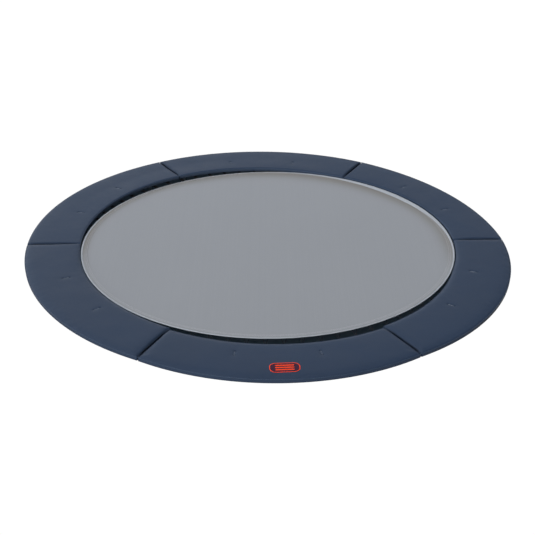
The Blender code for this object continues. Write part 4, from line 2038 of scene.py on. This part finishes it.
@dataclass
class Studio:
    """A pale floor with the pit that the frame stands in, soft light and the camera."""

    mat_centre: Vector
    mat_top: float
    mat_radius: float
    ground: float
    plans: Sequence[PadPlan]
    pit_margin: float = 35 * MM
    pit_floor: float = -4 * MM
    floor_reach: float = 30.0
    lens: float = 75.6
    distance_in_radii: float = 6.073
    elevation: float = math.radians(26.3)
    dip: float = math.radians(1.27)
    swing: float = math.radians(0.03)

    def paint(self, name: str, colour: Sequence[float], glow: float) -> bpy.types.Material:
        """Return a plain stage paint with a faint bluish glow, painted light on a part that is no lamp.

        Args:
            name: The paint's name.
            colour: Its colour.
            glow: The strength of its glow.

        Returns:
            The material.
        """
        made = bpy.data.materials.new(name)
        made.use_nodes = True
        shader = made.node_tree.nodes["Principled BSDF"]
        shader.inputs["Base Color"].default_value = (*colour, 1.0)
        shader.inputs["Roughness"].default_value = 0.9
        shader.inputs["Specular IOR Level"].default_value = 0.1
        # Painted light: a faint bluish glow.
        shader.inputs["Emission Color"].default_value = (0.40, 0.70, 1.0, 1)
        shader.inputs["Emission Strength"].default_value = glow
        return made

    def stage_piece(self, name: str, bm: bmesh.types.BMesh, paint: bpy.types.Material) -> None:
        """Add a mesh of the stage.

        Args:
            name: The piece's name.
            bm: Its mesh, which is freed.
            paint: Its paint.
        """
        mesh = template(bm, name)
        mesh.materials.append(paint)
        piece = bpy.data.objects.new(name, mesh)
        bpy.context.scene.collection.objects.link(piece)

    def pit_edge(self) -> tuple[bmesh.types.BMesh, list[bmesh.types.BMEdge]]:
        """Draw the pit's edge at height zero, a little inside the pads' outline.

        Returns:
            A mesh with the edge in it, and its edges.
        """
        bm = bmesh.new()
        ring = bmesh.ops.create_circle(bm, segments=180, radius=1.0)["verts"]
        for vert in ring:
            plan = min(self.plans, key=lambda p: abs(p.turned(vert.co) - p.middle))
            vert.co *= plan.sides(plan.turned(vert.co))[1].length - self.pit_margin
        return bm, list({e for v in ring for e in v.link_edges})

    def floor(self) -> None:
        """Make the ground with its pit."""
        bm, edges = self.pit_edge()
        made = bmesh.ops.extrude_edge_only(bm, edges=edges)["geom"]
        far = [g for g in made if isinstance(g, bmesh.types.BMVert)]
        bmesh.ops.scale(bm, vec=Vector((1, 1, 1)) * self.floor_reach, verts=far)
        bmesh.ops.translate(bm, vec=(0, 0, self.ground), verts=bm.verts)
        for face in bm.faces:
            if face.normal.z < 0:
                face.normal_flip()
        ground = self.paint("pale_ground", (0.42, 0.42, 0.42), 0.0)
        r = Recipe(ground.node_tree)
        glow = r.add("Emission", {"Color": (1, 1, 1, 1), "Strength": 1.02})
        seen = r.add("LightPath").outputs["Is Camera Ray"]
        shader = ground.node_tree.nodes["Principled BSDF"]
        both = r.add("MixShader", {0: seen, 1: shader.outputs[0], 2: glow.outputs[0]})
        r.tree.links.new(both.outputs[0], ground.node_tree.nodes["Material Output"].inputs["Surface"])
        self.stage_piece("ground", bm, ground)

        bm, edges = self.pit_edge()
        made = bmesh.ops.extrude_edge_only(bm, edges=edges)["geom"]
        low = [g for g in made if isinstance(g, bmesh.types.BMVert)]
        bmesh.ops.translate(bm, vec=(0, 0, self.pit_floor - self.ground), verts=low)
        bmesh.ops.contextual_create(bm, geom=[e for e in made if isinstance(e, bmesh.types.BMEdge)])
        bmesh.ops.translate(bm, vec=(0, 0, self.ground), verts=bm.verts)
        bmesh.ops.recalc_face_normals(bm, faces=bm.faces)
        bmesh.ops.reverse_faces(bm, faces=bm.faces)
        # The pit glows faintly bluish: painted light that lifts its dark.
        self.stage_piece("pit", bm, self.paint("dark_pit", (0.10, 0.11, 0.12), 0.012))

    def light(self) -> None:
        """Set a broad overhead light, a little from behind, in a pale even room."""
        world = bpy.data.worlds.new("room")
        bpy.context.scene.world = world
        world.use_nodes = True
        r = Recipe(world.node_tree)
        axes = r.add("SeparateXYZ", {0: r.add("TexCoord").outputs["Generated"]}).outputs
        low = r.sums("MULTIPLY", r.sums("SUBTRACT", 0.60, axes[2], clamp=True), 1.1)
        behind = r.sums("MULTIPLY", low, r.sums("MULTIPLY", axes[1], 1.5, clamp=True))
        leftward = r.sums("SUBTRACT", 1.0, r.sums("MULTIPLY", axes[0], 0.9))
        strength = r.sums("MULTIPLY", r.sums("ADD", 0.36, behind), leftward)
        back = world.node_tree.nodes["Background"]
        back.inputs["Color"].default_value = (0.91, 0.965, 1.05, 1.0)
        r.tree.links.new(strength, back.inputs["Strength"])
        plain = r.add("Background", {"Color": (1, 1, 1, 1), "Strength": 1.02})
        seen = r.add("LightPath").outputs["Is Camera Ray"]
        both = r.add("MixShader", {0: seen, 1: back.outputs[0], 2: plain.outputs[0]})
        r.tree.links.new(both.outputs[0], world.node_tree.nodes["World Output"].inputs["Surface"])
        for name, energy, spread, turn in (
            ("overhead", 1.10, 70, (-20, -12, 0)),
            ("front_fill", 3.1, 60, (58, 0, -25)),
        ):
            data = bpy.data.lights.new(name, "SUN")
            data.energy = energy
            data.angle = math.radians(spread)
            lamp = bpy.data.objects.new(name, data)
            lamp.rotation_euler = tuple(math.radians(a) for a in turn)
            lamp.visible_glossy = False
            bpy.context.scene.collection.objects.link(lamp)

    def camera(self) -> None:
        """Stand the camera off the mat's middle, a touch below its line so that the mat sits high in view."""
        data = bpy.data.cameras.new("camera")
        data.lens = self.lens
        data.sensor_width = 36.0
        data.clip_end = 200.0
        camera = bpy.data.objects.new("camera", data)
        aim = Vector((self.mat_centre.x, self.mat_centre.y, self.mat_top))
        away = self.distance_in_radii * self.mat_radius
        camera.location = aim + away * Vector((0, -math.cos(self.elevation), math.sin(self.elevation)))
        camera.rotation_euler = (math.pi / 2 - self.elevation - self.dip, 0, self.swing)
        bpy.context.scene.collection.objects.link(camera)
        bpy.context.scene.camera = camera

    def build(self) -> None:
        """Set the whole stage."""
        bpy.context.scene.view_settings.view_transform = "Standard"
        self.floor()
        self.light()
        self.camera()
        LOG.info("stage: ground at %.3f m with a pit, light and camera", self.ground)


def main() -> None:
    """Dress the frame piece by piece."""
    logging.basicConfig(level=logging.INFO, format="%(name)s: %(message)s")
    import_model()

    mat_low, mat_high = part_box("jump_mat")
    hem_low, hem_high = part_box("mat_hem")
    pad_low, pad_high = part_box("edge_pad_1")
    sleeve_low, sleeve_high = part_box("rail_sleeve_1")
    centre = (mat_low + mat_high) / 2
    hem_radius = (hem_high.x - hem_low.x) / 2
    rail_level = (sleeve_low.z + sleeve_high.z) / 2
    rail_radius, rail_tube = 1.800, 24 * MM
    hook_level, under_hem = 0.250, hem_low.z - 3 * MM

    dish = Dish(centre=Vector((centre.x, centre.y, rail_level)), rail_radius=rail_radius - rail_tube)
    plans = [PadPlan(number, centre) for number in range(1, SECTORS + 1)]
    Studio(centre, mat_high.z, hem_radius, pad_low.z, plans).build()
    FrameRing(rail_radius, rail_tube, rail_level).build()
    rim = Rim(hem_radius)
    SpringRing(centre, hem_radius, rail_radius, rail_tube, hook_level, under_hem, dish, rim).build()
    JumpBed(centre, hem_radius, mat_high.z, dish, rim).build()
    for plan in plans:
        pad = EdgePad(plan.number, plan, pad_low.z, pad_high.z)
        cover = pad.build(rail_radius, rail_level)
        if plan.number == 5:
            Badge(pad).build(cover)


if __name__ == "__main__":
    main()
